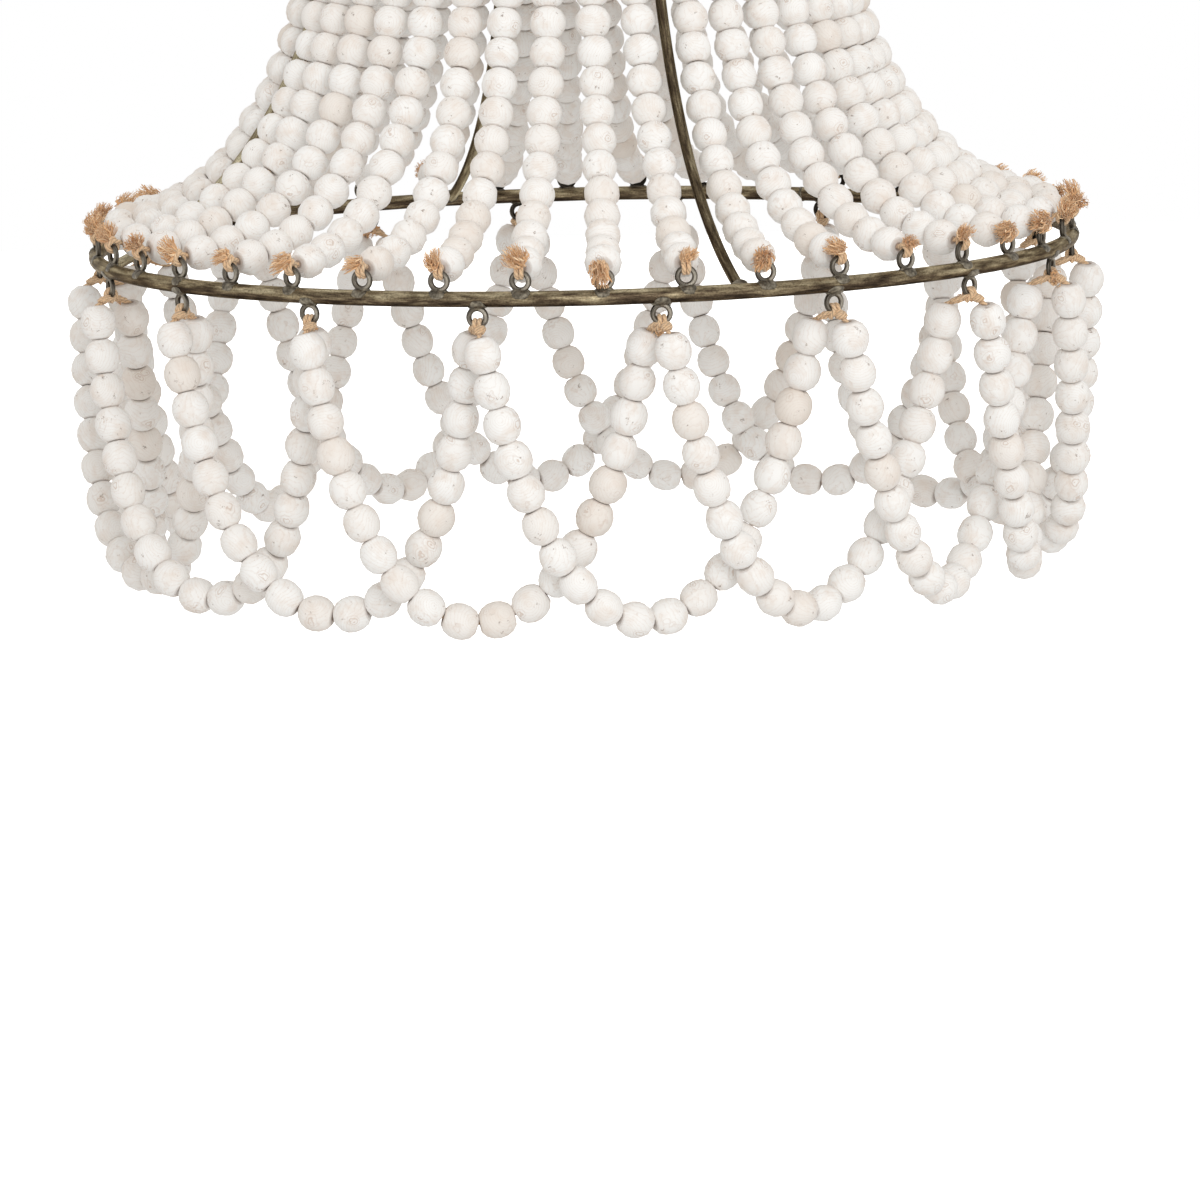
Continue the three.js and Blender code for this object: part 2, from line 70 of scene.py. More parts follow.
def feed(tree, socket, value):
    """Gives a socket its value, or the socket that feeds it."""
    if isinstance(value, bpy.types.NodeSocket):
        tree.links.new(value, socket)
    else:
        socket.default_value = value


def add_node(tree, kind, settings=None, **inputs):
    """A shader node with its settings and inputs, each a value or the socket that feeds it."""
    new = tree.nodes.new("ShaderNode" + kind)
    for name, value in (settings or {}).items():
        setattr(new, name, value)
    for name, value in inputs.items():
        feed(tree, new.inputs[name.replace("_", " ")], value)
    return new


def new_material(name, roughness, metallic=0.0, **inputs):
    """A material's node tree and its surface shader."""
    made = bpy.data.materials.new(name)
    made.use_nodes = True
    surface = made.node_tree.nodes["Principled BSDF"]
    surface.inputs["Roughness"].default_value = roughness
    surface.inputs["Metallic"].default_value = metallic
    for socket, value in inputs.items():
        surface.inputs[socket.replace("_", " ")].default_value = value
    return made, made.node_tree, surface


def ramp(tree, share, *stops):
    """A colour ramp with its stops given as (place, colour)."""
    made = add_node(tree, "ValToRGB", Fac=share)
    elements = made.color_ramp.elements
    while len(elements) < len(stops):
        elements.new(1)
    for element, (place, colour) in zip(elements, stops):
        element.position = place
        element.color = (*colour, 1) if isinstance(colour, tuple) else (colour, colour, colour, 1)
    return made.outputs["Color"]


def mix(tree, share, first, second, blend="MIX"):
    """Two colours mixed by a share."""
    made = add_node(tree, "Mix", {"data_type": "RGBA", "blend_type": blend})
    feed(tree, made.inputs[0], share)
    feed(tree, made.inputs[6], (*first, 1) if isinstance(first, tuple) else first)
    feed(tree, made.inputs[7], (*second, 1) if isinstance(second, tuple) else second)
    return made.outputs[2]


def calc(tree, operation, *values):
    """One sum on numbers."""
    made = add_node(tree, "Math", {"operation": operation})
    for socket, value in zip(made.inputs, values):
        feed(tree, socket, value)
    return made.outputs[0]


def noise_at(tree, where, scale, detail=4, roughness=0.6):
    """Noise between 0 and 1."""
    made = add_node(tree, "TexNoise", Vector=where, Scale=scale, Detail=detail, Roughness=roughness)
    return made.outputs["Fac"]


def stretched(tree, where, scale):
    """A place with its three axes stretched."""
    return add_node(tree, "Mapping", Vector=where, Scale=scale).outputs[0]


def read_attribute(tree, name, output="Vector"):
    """What the mesh keeps at its points under a name."""
    return add_node(tree, "Attribute", {"attribute_name": name}).outputs[output]


def object_place(tree):
    """The place on the object, in metres."""
    return add_node(tree, "TexCoord").outputs["Object"]


def bump(tree, surface, height, depth):
    """Raises a surface by a height map, its depth in millimetres."""
    made = add_node(tree, "Bump", Height=height, Distance=depth * MM, Strength=1)
    tree.links.new(made.outputs[0], surface.inputs["Normal"])


def antique_bronze(name, along_bar, *tones):
    """Dark bronze patina, rubbed through to a paler metal, in streaks where it was drawn to a bar. On a bar
    one side is painted paler as well, the top on the rings, as light from above.
    """
    # The dark specular tint darkens the grazing reflections: painted shade at the metal's outlines, in place
    # of dark surroundings reflected there.
    made, tree, surface = new_material(name, 0.4, 0.85, Specular_Tint=(0.5, 0.46, 0.4, 1))
    if along_bar:
        lay = read_attribute(tree, "lay")
        streaks = noise_at(tree, stretched(tree, lay, (0.9, 0.9, 0.035)), 1.7, 7)
        specks = noise_at(tree, stretched(tree, lay, (4.0, 4.0, 0.7)), 1.3)
        # On a bar, lay's second axis (up, on the rings) also makes the metal paler: painted light from above,
        # added to the rubbed streaks.
        side = add_node(tree, "SeparateXYZ", Vector=lay).outputs[1]
        rubbed = calc(tree, "MULTIPLY_ADD", side, 0.15, streaks)
    else:
        place = object_place(tree)
        streaks = rubbed = noise_at(tree, place, 110, 7)
        specks = noise_at(tree, place, 1150)
    patina = ramp(tree, rubbed, *zip((0.3, 0.45, 0.58, 0.74), tones))
    grime = ramp(tree, specks, (0.36, 0.5), (0.56, 1.0))
    feed(tree, surface.inputs["Base Color"], mix(tree, 1.0, patina, grime, "MULTIPLY"))
    feed(tree, surface.inputs["Roughness"], ramp(tree, specks, (0.3, 0.28), (0.7, 0.56)))
    bump(tree, surface, calc(tree, "MULTIPLY_ADD", specks, 0.5, streaks), 0.22)
    return made


def weld_grey():
    """Bare weld metal: lumpy, dull olive grey, with darker scale in its hollows."""
    made, tree, surface = new_material("weld metal", 0.5, 0.7)
    place = object_place(tree)
    lumps = noise_at(tree, place, 420, 5)
    fine = noise_at(tree, place, 1800, 3)
    feed(tree, surface.inputs["Base Color"], ramp(tree, lumps, (0.34, (0.045, 0.036, 0.025)),
                                                  (0.5, (0.13, 0.112, 0.082)), (0.68, (0.25, 0.22, 0.165))))
    bump(tree, surface, calc(tree, "MULTIPLY_ADD", fine, 0.4, lumps), 0.25)
    return made


def edges_of(verts):
    """The edges at some points, in the same order each run."""
    return list(dict.fromkeys(edge for vert in verts for edge in vert.link_edges))


def sweep(bm, points, radius, sides, skin=0, tip=1.0):
    """A round rod through points, its lay kept as (cosine, sine, length so far). Tip thins its far end."""
    lay = bm.verts.layers.float_vector.get("lay") or bm.verts.layers.float_vector.new("lay")
    points = [Vector(point) for point in points]
    last = len(points) - 1
    normal = (points[1] - points[0]).orthogonal()
    before = None
    run = 0.0
    swept = []
    for i, point in enumerate(points):
        along = (points[min(i + 1, last)] - points[max(i - 1, 0)]).normalized()
        normal = (normal - along * normal.dot(along)).normalized()
        size = radius * (1 + (tip - 1) * i / last)
        here = Matrix((normal * size, along.cross(normal) * size, along)).transposed().to_4x4()
        here.translation = point
        if i == 0:
            made = bmesh.ops.create_circle(bm, cap_ends=True, radius=1, segments=sides, matrix=here)
            verts = made["verts"]
            edges = edges_of(verts)
        else:
            run += (point - points[i - 1]).length
            made = bmesh.ops.extrude_edge_only(bm, edges=edges)["geom"]
            verts = [part for part in made if isinstance(part, bmesh.types.BMVert)]
            fresh = set(verts)
            edges = [part for part in made
                     if isinstance(part, bmesh.types.BMEdge) and fresh.issuperset(part.verts)]
            bmesh.ops.transform(bm, matrix=here @ before.inverted(), verts=verts)
        back = here.inverted()
        for vert in verts:
            spot = back @ vert.co
            vert[lay] = (spot.x, spot.y, run)
        swept += verts
        before = here
    bmesh.ops.contextual_create(bm, geom=edges)
    for vert in swept:
        for face in vert.link_faces:
            face.material_index = skin
    return swept


def add_copy(bm, template, matrix):
    """A copy of a template mesh, moved by a matrix. Returns its new points."""
    count = len(bm.verts)
    bm.from_mesh(template)
    bm.verts.ensure_lookup_table()
    verts = bm.verts[count:]
    bmesh.ops.transform(bm, matrix=matrix, verts=verts)
    return verts


def as_template(bm, name):
    """Keeps a small mesh to be copied."""
    bmesh.ops.recalc_face_normals(bm, faces=bm.faces)
    mesh = bpy.data.meshes.new(name)
    bm.to_mesh(mesh)
    bm.free()
    return mesh


def put(name, data):
    """A new object in the scene."""
    new = bpy.data.objects.new(name, data)
    bpy.context.scene.collection.objects.link(new)
    return new


def finish_piece(name, bm, skins, body, slot, *nodes, sharp=40):
    """Makes the finished object in metres, which rides on a body and stands for its nodes."""
    bmesh.ops.recalc_face_normals(bm, faces=bm.faces)
    bmesh.ops.scale(bm, vec=(MM, MM, MM), verts=bm.verts)
    mesh = bpy.data.meshes.new(name)
    bm.to_mesh(mesh)
    bm.free()
    for skin in skins:
        mesh.materials.append(skin)
    mesh.polygons.foreach_set("use_smooth", [True] * len(mesh.polygons))
    if sharp:
        mesh.set_sharp_from_angle(angle=radians(sharp))
    piece = put(name, mesh)
    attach(piece, body)
    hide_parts(*nodes)


def spun_wire(bm, radius, sides, stand, axis, steps, centre=(0, 0, 0)):
    """A round wire spun to a closed ring, from its section at a stand."""
    made = bmesh.ops.create_circle(bm, radius=radius, segments=sides, matrix=stand)
    bmesh.ops.spin(bm, geom=made["verts"] + edges_of(made["verts"]), cent=centre, axis=axis, angle=tau,
                   steps=steps, use_merge=True)


def bar_ring(bm, radius, height, steps=144, sides=16):
    """A bar rolled to a ring, very slightly uneven, as it comes off the rolls."""
    lay = bm.verts.layers.float_vector.get("lay") or bm.verts.layers.float_vector.new("lay")
    stand = Matrix.Translation((0, -radius, RING_PLANE + height)) @ Matrix.Rotation(pi / 2, 4, "Y")
    spun_wire(bm, BAR_RADIUS, sides, stand, (0, 0, 1), steps)
    for vert in bm.verts:
        bearing = atan2(vert.co.x, -vert.co.y)
        out = sqrt(vert.co.x ** 2 + vert.co.y ** 2) - radius
        rise = vert.co.z - RING_PLANE - height
        vert[lay] = (out / BAR_RADIUS, rise / BAR_RADIUS, bearing * radius)
        uneven = BAR_UNEVEN * noise.noise(vert.co * 0.11)
        vert.co += Vector((out * sin(bearing), -out * cos(bearing), rise)) * (uneven / BAR_RADIUS)


def weld_run(bm, eye, width, seed):
    """Weld metal that has run from an eye's foot down over the bar's face, in the bar's own curve."""
    made = bmesh.ops.create_icosphere(bm, subdivisions=3, radius=1)
    for vert in made["verts"]:
        across, down, out = vert.co
        turn = radians(60 - 55 * down)
        reach = BAR_RADIUS + 0.9 * out + 0.5 * noise.noise(vert.co * 1.3 + Vector((seed, 0, 0)))
        fuller = max(0.02, 1 - down * down) ** -0.25
        wide = width * fuller * (1 - 0.12 * down + 0.3 * noise.noise(Vector((seed, 2 * down, across))))
        vert.co = eye @ Vector((wide * across, reach * cos(turn), reach * sin(turn) - EYE_HEIGHT))
        for face in vert.link_faces:
            face.material_index = 1


def weld_lump(bm, matrix, size, seed):
    """A lump of weld metal, round at first and then beaten uneven."""
    shape = matrix @ Matrix.Diagonal((*size, 1))
    made = bmesh.ops.create_icosphere(bm, subdivisions=3, radius=1, matrix=shape)
    middle = matrix.translation
    for vert in made["verts"]:
        push = noise.noise(vert.co * 0.5 + Vector((seed, 0, 0))) * 0.5
        vert.co += (vert.co - middle).normalized() * push
        for face in vert.link_faces:
            face.material_index = 1


def wire_eye():
    """One eye of bent wire, standing on its foot, its hole facing outwards."""
    bm = bmesh.new()
    stand = Matrix.Translation((0, 0, EYE_RADIUS)) @ Matrix.Rotation(pi / 2, 4, "Y")
    spun_wire(bm, EYE_WIRE, 10, stand, (0, 1, 0), 24)
    lay = bm.verts.layers.float_vector.new("lay")
    for vert in bm.verts:
        around = atan2(vert.co.x, vert.co.z)
        out = (sqrt(vert.co.x ** 2 + vert.co.z ** 2) - EYE_RADIUS) / EYE_WIRE
        vert[lay] = (out, vert.co.y / EYE_WIRE, around * EYE_RADIUS)
    for face in bm.faces:
        face.material_index = 2
    return as_template(bm, "wire eye")


bronze_tones = (0.022, 0.014, 0.009), (0.088, 0.062, 0.038), (0.24, 0.19, 0.115), (0.54, 0.46, 0.3)
bar_bronze = antique_bronze("antique bronze bar", True, *bronze_tones)
cast_bronze = antique_bronze("antique bronze", False, (0.03, 0.02, 0.013), (0.066, 0.046, 0.03),
                             (0.125, 0.097, 0.062), (0.26, 0.215, 0.14))
eye_steel = antique_bronze("dark steel wire", True, (0.016, 0.013, 0.01), (0.05, 0.043, 0.034),
                           (0.12, 0.105, 0.085), (0.32, 0.29, 0.24))
weld_metal = weld_grey()
eye_template = wire_eye()
ring_mesh = bmesh.new()
bar_ring(ring_mesh, RING_RADIUS, 0)
chance = random.Random(11)
eye_spots = [(RIB_BEARING + FIRST_STRAND + 9 * i, 1) for i in range(RIB_COUNT * STRANDS_PER_RIB)]
eye_spots += [(FIRST_SWAG + 20 * i, -1) for i in range(SWAG_COUNT)]
for number, (bearing, side) in enumerate(eye_spots):
    foot = eye_frame(bearing, RING_RADIUS, side * EYE_HEIGHT) @ Matrix.Diagonal((1, 1, side, 1))
    turn = Matrix.Rotation(radians(chance.uniform(-9, 9) if side > 0 else chance.uniform(-4, 4)), 4, "Z")
    add_copy(ring_mesh, eye_template, foot @ turn)
    aside = Matrix.Translation((chance.uniform(-0.8, 0.8), 0, 0))
    weld_run(ring_mesh, foot @ aside, chance.uniform(4.0, 4.9), number)
    bead = Matrix.Translation((0, 0.3, -5.5))
    weld_lump(ring_mesh, foot @ bead, (chance.uniform(4.6, 5.2), 1.7, 2.1), number + 0.5)
weld_lump(ring_mesh, eye_frame(BAR_SEAM, RING_RADIUS, 0), (3.2, 4.3, 4.3), 90)
finish_piece("ring_lower", ring_mesh, [bar_bronze, weld_metal, eye_steel], "fixture", "antique_bronze",
             "lower_ring", sharp=70)

# Ribs. Four round bars, bent to the bell's outline, which carry the lower ring from the crown ring. Each
# is butted on the inner side of the lower bar and under the upper one, and welded there.
RIB_RADIUS = 2.8
RIB_PITCH = radians(23)
RIB_FOOT_REACH = 127
RIB_HEAD_REACH = 20
CROWN_RADIUS = 131.5
CROWN_RISE = 212
# The ribs carry the frame's bronze in paler tones: painted light, lifting them where they hang in shade
# inside the bell.
rib_tones_painted_lighter = (0.05, 0.034, 0.02), (0.15, 0.115, 0.068), (0.31, 0.26, 0.165), (0.55, 0.49, 0.34)
rib_bronze_painted_lighter = antique_bronze("bronze bar painted lighter", True, *rib_tones_painted_lighter)


def bell_curve(foot, head, pitch, foot_reach, head_reach, count):
    """The bell's outline as (distance to the axis, height), evenly spaced, and its length."""
    foot, head = Vector(foot), Vector(head)
    first = foot + Vector((-cos(pitch), sin(pitch))) * foot_reach
    second = head - Vector((0, head_reach))
    fine = []
    for i in range(401):
        t = i / 400
        u = 1 - t
        fine.append(foot * u ** 3 + first * 3 * t * u ** 2 + second * 3 * t * t * u + head * t ** 3)
    runs = [0.0]
    for here, after in zip(fine, fine[1:]):
        runs.append(runs[-1] + (after - here).length)
    spots = []
    for i in range(count + 1):
        wanted = runs[-1] * i / count
        k = max(j for j in range(401) if runs[j] <= wanted + 1e-9)
        k = min(k, 399)
        spots.append(fine[k].lerp(fine[k + 1], (wanted - runs[k]) / (runs[k + 1] - runs[k])))
    return spots, runs[-1]


rib_foot = (RING_RADIUS - (BAR_RADIUS - 1) * cos(RIB_PITCH), (BAR_RADIUS - 1) * sin(RIB_PITCH))
rib_head = (CROWN_RADIUS, CROWN_RISE - BAR_RADIUS + 1)
rib_line, _ = bell_curve(rib_foot, rib_head, RIB_PITCH, RIB_FOOT_REACH, RIB_HEAD_REACH, 48)
for number in range(RIB_COUNT):
    bearing = RIB_BEARING + 90 * number
    rib_mesh = bmesh.new()
    sweep(rib_mesh, [eye_frame(bearing, r, z).translation for r, z in rib_line], RIB_RADIUS, 14)
    weld_lump(rib_mesh, eye_frame(bearing, RING_RADIUS - 3.4, 2.2), (4.6, 2.6, 3.6), number + 20)
    weld_lump(rib_mesh, eye_frame(bearing, CROWN_RADIUS, CROWN_RISE - 4.2), (4.4, 4.2, 1.8), number + 30)
    finish_piece(f"rib_bar_{number + 1}", rib_mesh, [rib_bronze_painted_lighter, weld_metal], "fixture", "antique_bronze",
                 f"rib_{number + 1}", sharp=70)

# Upper strands. Turned softwood beads, whitewashed and rubbed back, on jute twine. Each pair of strands is
# one twine, which is looped through its two eyes with a frayed end at each, and passes over the crown ring.
BEAD_PITCH = 16.15
BEAD_SIZE = (0.93, 0.93)
BEAD_PROFILE = ((4.7, 8.8), (7.65, 6.75), (9.5, 3.5), (10.05, 0))
BEAD_STEPS = 12
TWINE_RADIUS = 1.15
STRAND_FOOT = (260, 15)
CROWN_REACH = 5.4
STRAND_PITCH = radians(4)
STRAND_FOOT_REACH = 85
STRAND_HEAD_REACH = 74
STRAND_STEPS = 480
RIB_GAP = 11
EYE_TURNS = ((0.6, -3.4, 6.6), (1.4, 0.2, 7.2), (1.6, 2.9, 4.6), (1.2, 0.4, 1.7), (0.2, -2.6, 3.6),
             (-0.6, -1.6, 7.0), (-0.9, 1.2, 7.5), (-0.9, 3.1, 4.8), (-0.7, 0.6, 1.8), (-0.3, -2.4, 4.6),
             (0.2, -0.4, 8.6), (0, 2.2, 8.4))
LOOP_TWINE = 1.25


def whitewashed_wood():
    """Whitewash on turned softwood: year rings, knots and stains show through, with a few chips and pits."""
    made, tree, surface = new_material("whitewashed wood", 0.78, Specular_IOR_Level=0.35)
    grain = read_attribute(tree, "grain")
    tone = read_attribute(tree, "tone", "Fac")
    swirl = add_node(tree, "TexNoise", Vector=grain, Scale=0.16, Detail=2).outputs["Color"]
    bent = add_node(tree, "VectorMath", {"operation": "MULTIPLY_ADD"})
    for socket, value in zip(bent.inputs, (swirl, (7, 7, 7), grain)):
        feed(tree, socket, value)
    bent = bent.outputs[0]
    clouds = noise_at(tree, grain, 0.1, 4)
    blots = noise_at(tree, grain, 0.24)
    fine = noise_at(tree, grain, 1.5, 4, 0.7)
    rings = add_node(tree, "TexWave", {"wave_type": "RINGS", "rings_direction": "Z"}, Vector=grain,
                     Scale=0.24, Distortion=4.5, Detail=3, Detail_Scale=0.8,
                     Detail_Roughness=0.65).outputs["Fac"]
    knots = add_node(tree, "TexVoronoi", Vector=bent, Scale=0.085)
    chosen = add_node(tree, "SeparateXYZ", Vector=knots.outputs["Color"]).outputs[0]
    reach = ramp(tree, knots.outputs["Distance"], (0.16, 1.0), (0.4, 0.0))
    knot = calc(tree, "MULTIPLY", reach, ramp(tree, chosen, (0.42, 0.0), (0.6, 1.0)))
    turns = calc(tree, "SINE", calc(tree, "MULTIPLY", knots.outputs["Distance"], 48.0))
    knot_rings = calc(tree, "MULTIPLY", knot, turns)
    pits = add_node(tree, "TexVoronoi", Vector=grain, Scale=0.5)
    pit_size = calc(tree, "MULTIPLY_ADD", fine, -0.25, pits.outputs["Distance"])
    pit = calc(tree, "MULTIPLY", ramp(tree, pit_size, (0.0, 1.0), (0.09, 0.0)),
               ramp(tree, blots, (0.63, 0.0), (0.7, 0.7)))
    washed = ramp(tree, tone, (0.0, (0.885, 0.88, 0.862)), (0.55, (0.858, 0.84, 0.812)),
                  (1.0, (0.79, 0.735, 0.675)))
    stained = mix(tree, ramp(tree, clouds, (0.48, 0.0), (0.72, 0.6)), washed, (0.74, 0.645, 0.565))
    lines = calc(tree, "MULTIPLY", ramp(tree, rings, (0.0, 1.0), (0.25, 0.0)),
                 ramp(tree, fine, (0.4, 0.05), (0.62, 0.38)))
    lined = mix(tree, lines, stained, (0.66, 0.55, 0.47))
    knotted = mix(tree, ramp(tree, knot_rings, (0.05, 0.0), (0.85, 0.62)), lined, (0.6, 0.48, 0.4))
    worn = calc(tree, "MULTIPLY", ramp(tree, fine, (0.5, 0.0), (0.64, 0.6)),
                ramp(tree, blots, (0.57, 0.0), (0.7, 1.0)))
    rubbed = mix(tree, worn, knotted, (0.55, 0.44, 0.37))
    chipped = calc(tree, "MULTIPLY", ramp(tree, blots, (0.66, 0.0), (0.7, 1.0)),
                   ramp(tree, fine, (0.44, 0.0), (0.52, 0.75)))
    bare = mix(tree, chipped, rubbed, (0.27, 0.21, 0.17))
    pitted = mix(tree, pit, bare, (0.22, 0.17, 0.14))
    # Darker towards the hole on the flat ends: some bare wood, and painted shade of the hole and of the gaps
    # between beads, darkest at the middle of each end.
    flat = stretched(tree, read_attribute(tree, "spot"), (0.1, 0.1, 0))
    from_hole = add_node(tree, "VectorMath", {"operation": "LENGTH"}, Vector=flat).outputs["Value"]
    edge = calc(tree, "MULTIPLY_ADD", fine, 0.1, from_hole)
    end_shade_and_bare_wood = ramp(tree, edge, (0.26, 0.9), (0.32, 0.4), (0.56, 0.25), (0.6, 0.0))
    feed(tree, surface.inputs["Base Color"], mix(tree, end_shade_and_bare_wood, pitted, (0.3, 0.22, 0.17)))
    feed(tree, surface.inputs["Roughness"], ramp(tree, fine, (0.3, 0.68), (0.7, 0.9)))
    height = calc(tree, "MULTIPLY_ADD", rings, 0.15, calc(tree, "MULTIPLY", fine, 0.5))
    height = calc(tree, "MULTIPLY_ADD", knot_rings, 0.3, height)
    bump(tree, surface, calc(tree, "MULTIPLY_ADD", pit, -1.6, height), 0.22)
    return made


def jute():
    """Three-ply jute twine: tan to orange, hairy, with light and dark fibres along each ply.
    The grooves between the plies are darkened with painted shade.
    """
    made, tree, surface = new_material("jute twine", 0.85, Specular_IOR_Level=0.2, Sheen_Weight=0.25,
                                       Sheen_Roughness=0.5)
    lay = read_attribute(tree, "lay")
    split = add_node(tree, "SeparateXYZ", Vector=lay)
    around = calc(tree, "ARCTAN2", split.outputs[1], split.outputs[0])
    turn = calc(tree, "MULTIPLY_ADD", around, 3.0, calc(tree, "MULTIPLY", split.outputs[2], 2.3))
    ply = calc(tree, "MULTIPLY_ADD", calc(tree, "SINE", turn), 0.5, 0.5)
    hairs = noise_at(tree, stretched(tree, lay, (2.5, 2.5, 0.6)), 2.2, 4, 0.7)
    patches = noise_at(tree, object_place(tree), 230, 3)
    fibre = ramp(tree, hairs, (0.3, (0.5, 0.28, 0.14)), (0.48, (0.78, 0.54, 0.33)),
                 (0.68, (0.9, 0.74, 0.53)))
    tinted = mix(tree, ramp(tree, patches, (0.35, 0.0), (0.65, 0.45)), fibre, (0.82, 0.52, 0.28))
    # The grooves between the plies are darkened: painted shade.
    ply_groove_shade = ramp(tree, ply, (0.0, 0.6), (0.35, 1.0))
    feed(tree, surface.inputs["Base Color"], mix(tree, 1.0, tinted, ply_groove_shade, "MULTIPLY"))
    bump(tree, surface, calc(tree, "MULTIPLY_ADD", hairs, 0.5, ply), 0.35)
    return made


def frayed_jute():
    """Jute fibres out of their twist: pale straw to orange, each fibre with a tone of its own."""
    made, tree, surface = new_material("frayed jute", 0.8, Specular_IOR_Level=0.25, Sheen_Weight=0.3,
                                       Sheen_Roughness=0.4)
    tone = read_attribute(tree, "tone", "Fac")
    length = noise_at(tree, stretched(tree, read_attribute(tree, "lay"), (1, 1, 0.4)), 1.5)
    fibre = ramp(tree, calc(tree, "MULTIPLY_ADD", length, 0.5, calc(tree, "MULTIPLY", tone, 0.6)),
                 (0.2, (0.52, 0.26, 0.11)), (0.5, (0.79, 0.48, 0.25)), (0.8, (0.91, 0.68, 0.44)))
    feed(tree, surface.inputs["Base Color"], fibre)
    bump(tree, surface, length, 0.04)
    return made


def turned_bead():
    """One bead, turned about its hole: a full round belly and flat ends, which the wood's material darkens
    towards the hole, partly bare wood and partly painted shade of the hole and of the gaps between beads.
    """
    bm = bmesh.new()
    spot = bm.verts.layers.float_vector.new("spot")
    outline = [(r, -z) for r, z in BEAD_PROFILE] + [(r, z) for r, z in reversed(BEAD_PROFILE[:-1])]
    verts = [bm.verts.new((r, 0, z)) for r, z in outline]
    edges = [bm.edges.new(pair) for pair in zip(verts, verts[1:])]
    bmesh.ops.spin(bm, geom=verts + edges, cent=(0, 0, 0), axis=(0, 0, 1), angle=tau, steps=BEAD_STEPS,
                   use_merge=True)
    rims = [edge for edge in bm.edges if edge.is_boundary]
    bmesh.ops.holes_fill(bm, edges=rims, sides=BEAD_STEPS)
    for edge in rims:
        edge.smooth = False
    for vert in bm.verts:
        vert[spot] = vert.co
    return as_template(bm, "turned bead")


def thread_bead(bm, middle, along, shares, chance):
    """Threads one bead, its size in shares across and along, each a little different in turn and grain."""
    layers = bm.verts.layers
    grain = layers.float_vector.get("grain") or layers.float_vector.new("grain")
    tone = layers.float.get("tone") or layers.float.new("tone")
    if not layers.float_vector.get("spot"):
        layers.float_vector.new("spot")
    count = len(bm.verts)
    bm.from_mesh(bead_template)
    bm.verts.ensure_lookup_table()
    verts = bm.verts[count:]
    log = Matrix.Rotation(chance.uniform(0, tau), 3, "Z")
    log = log @ Matrix.Rotation(chance.gauss(pi / 2, 0.5), 3, "X")
    shift = Vector((chance.uniform(-5, 5), chance.uniform(-5, 5), chance.uniform(-4000, 4000)))
    shade = min(1, max(0, chance.gauss(0.3, 0.3)))
    for vert in verts:
        vert[grain] = log @ vert.co + shift
        vert[tone] = shade
    girth = shares[0] * chance.uniform(0.975, 1.02)
    tilt = Matrix.Rotation(chance.gauss(0, radians(2)), 4, "X")
    tilt = tilt @ Matrix.Rotation(chance.uniform(0, tau), 4, "Z")
    depth = girth * chance.uniform(0.98, 1.01)
    size = Matrix.Diagonal((girth, depth, shares[1] * chance.uniform(0.965, 1.0), 1))
    turn = along.to_track_quat("Z", "Y").to_matrix().to_4x4()
    bmesh.ops.transform(bm, matrix=Matrix.Translation(middle) @ turn @ tilt @ size, verts=verts)


def frayed_end(seed, length, spread, fibres):
    """The cut end of a twine, come apart into curled yarns and loose fibres, growing up from its base."""
    chance = random.Random(seed)
    bm = bmesh.new()
    tone = bm.verts.layers.float.new("tone")
    droop = chance.uniform(0, tau)
    for number in range(fibres):
        yarn = number % 9 == 0
        side = chance.uniform(0, tau)
        reach = sqrt(chance.random()) * spread
        tall = length * chance.uniform(0.45, 1) * (1 - 0.4 * (reach / spread) ** 2)
        curl = chance.uniform(0.6, 2.0)
        swirl = chance.uniform(0, tau)
        points = []
        for i in range(6):
            t = i / 5
            wide = 0.5 + (reach - 0.5) * t ** 0.7
            wave = curl * sin(pi * t)
            fall = spread * 0.5 * t * t
            points.append((wide * cos(side) + wave * cos(swirl + 4.5 * t) + fall * cos(droop),
                           wide * sin(side) + wave * sin(swirl + 4.5 * t) + fall * sin(droop),
                           tall * t * (1 - 0.18 * t)))
        thick = 0.5 if yarn else chance.uniform(0.15, 0.26)
        shade = chance.random()
        for vert in sweep(bm, points, thick, 5 if yarn else 3, skin=2, tip=0.6):
            vert[tone] = shade
    return as_template(bm, f"frayed end {seed}")


def smooth_route(points, steps=5):
    """More points on a smooth line through a few."""
    points = [Vector(point) for point in points]
    ends = [points[0] * 2 - points[1], *points, points[-1] * 2 - points[-2]]
    route = []
    for p0, p1, p2, p3 in zip(ends, ends[1:], ends[2:], ends[3:]):
        for i in range(steps):
            t = i / steps
            route.append((p1 * 2 + (p2 - p0) * t + (p0 * 2 - p1 * 5 + p2 * 4 - p3) * t * t
                          + (p1 * 3 - p0 - p2 * 3 + p3) * t ** 3) / 2)
    return route + [points[-1]]


white_wood = whitewashed_wood()
twine_jute = jute()
loose_jute = frayed_jute()
bead_template = turned_bead()
frayed_templates = [frayed_end(seed, 12.5, 6.6, 150) for seed in range(6)]
strand_head = (CROWN_RADIUS + CROWN_REACH, CROWN_RISE - CROWN_REACH)
strand_line, strand_length = bell_curve(STRAND_FOOT, strand_head, STRAND_PITCH, STRAND_FOOT_REACH,
                                        STRAND_HEAD_REACH, STRAND_STEPS)
strand_beads = int(strand_length / BEAD_PITCH)


def strand_point(foot, head, run, aside=0):
    """The place on a strand at a length from its foot, between the bearings of its foot and its head."""
    share = min(run / strand_length, 1)
    radius, height = strand_line[round(share * STRAND_STEPS)]
    here = eye_frame(foot + (head - foot) * (1 - (1 - share) ** 2), radius, height)
    return here @ Vector((aside * share * (1 - share) ** 3 * 9.5, 0, 0))


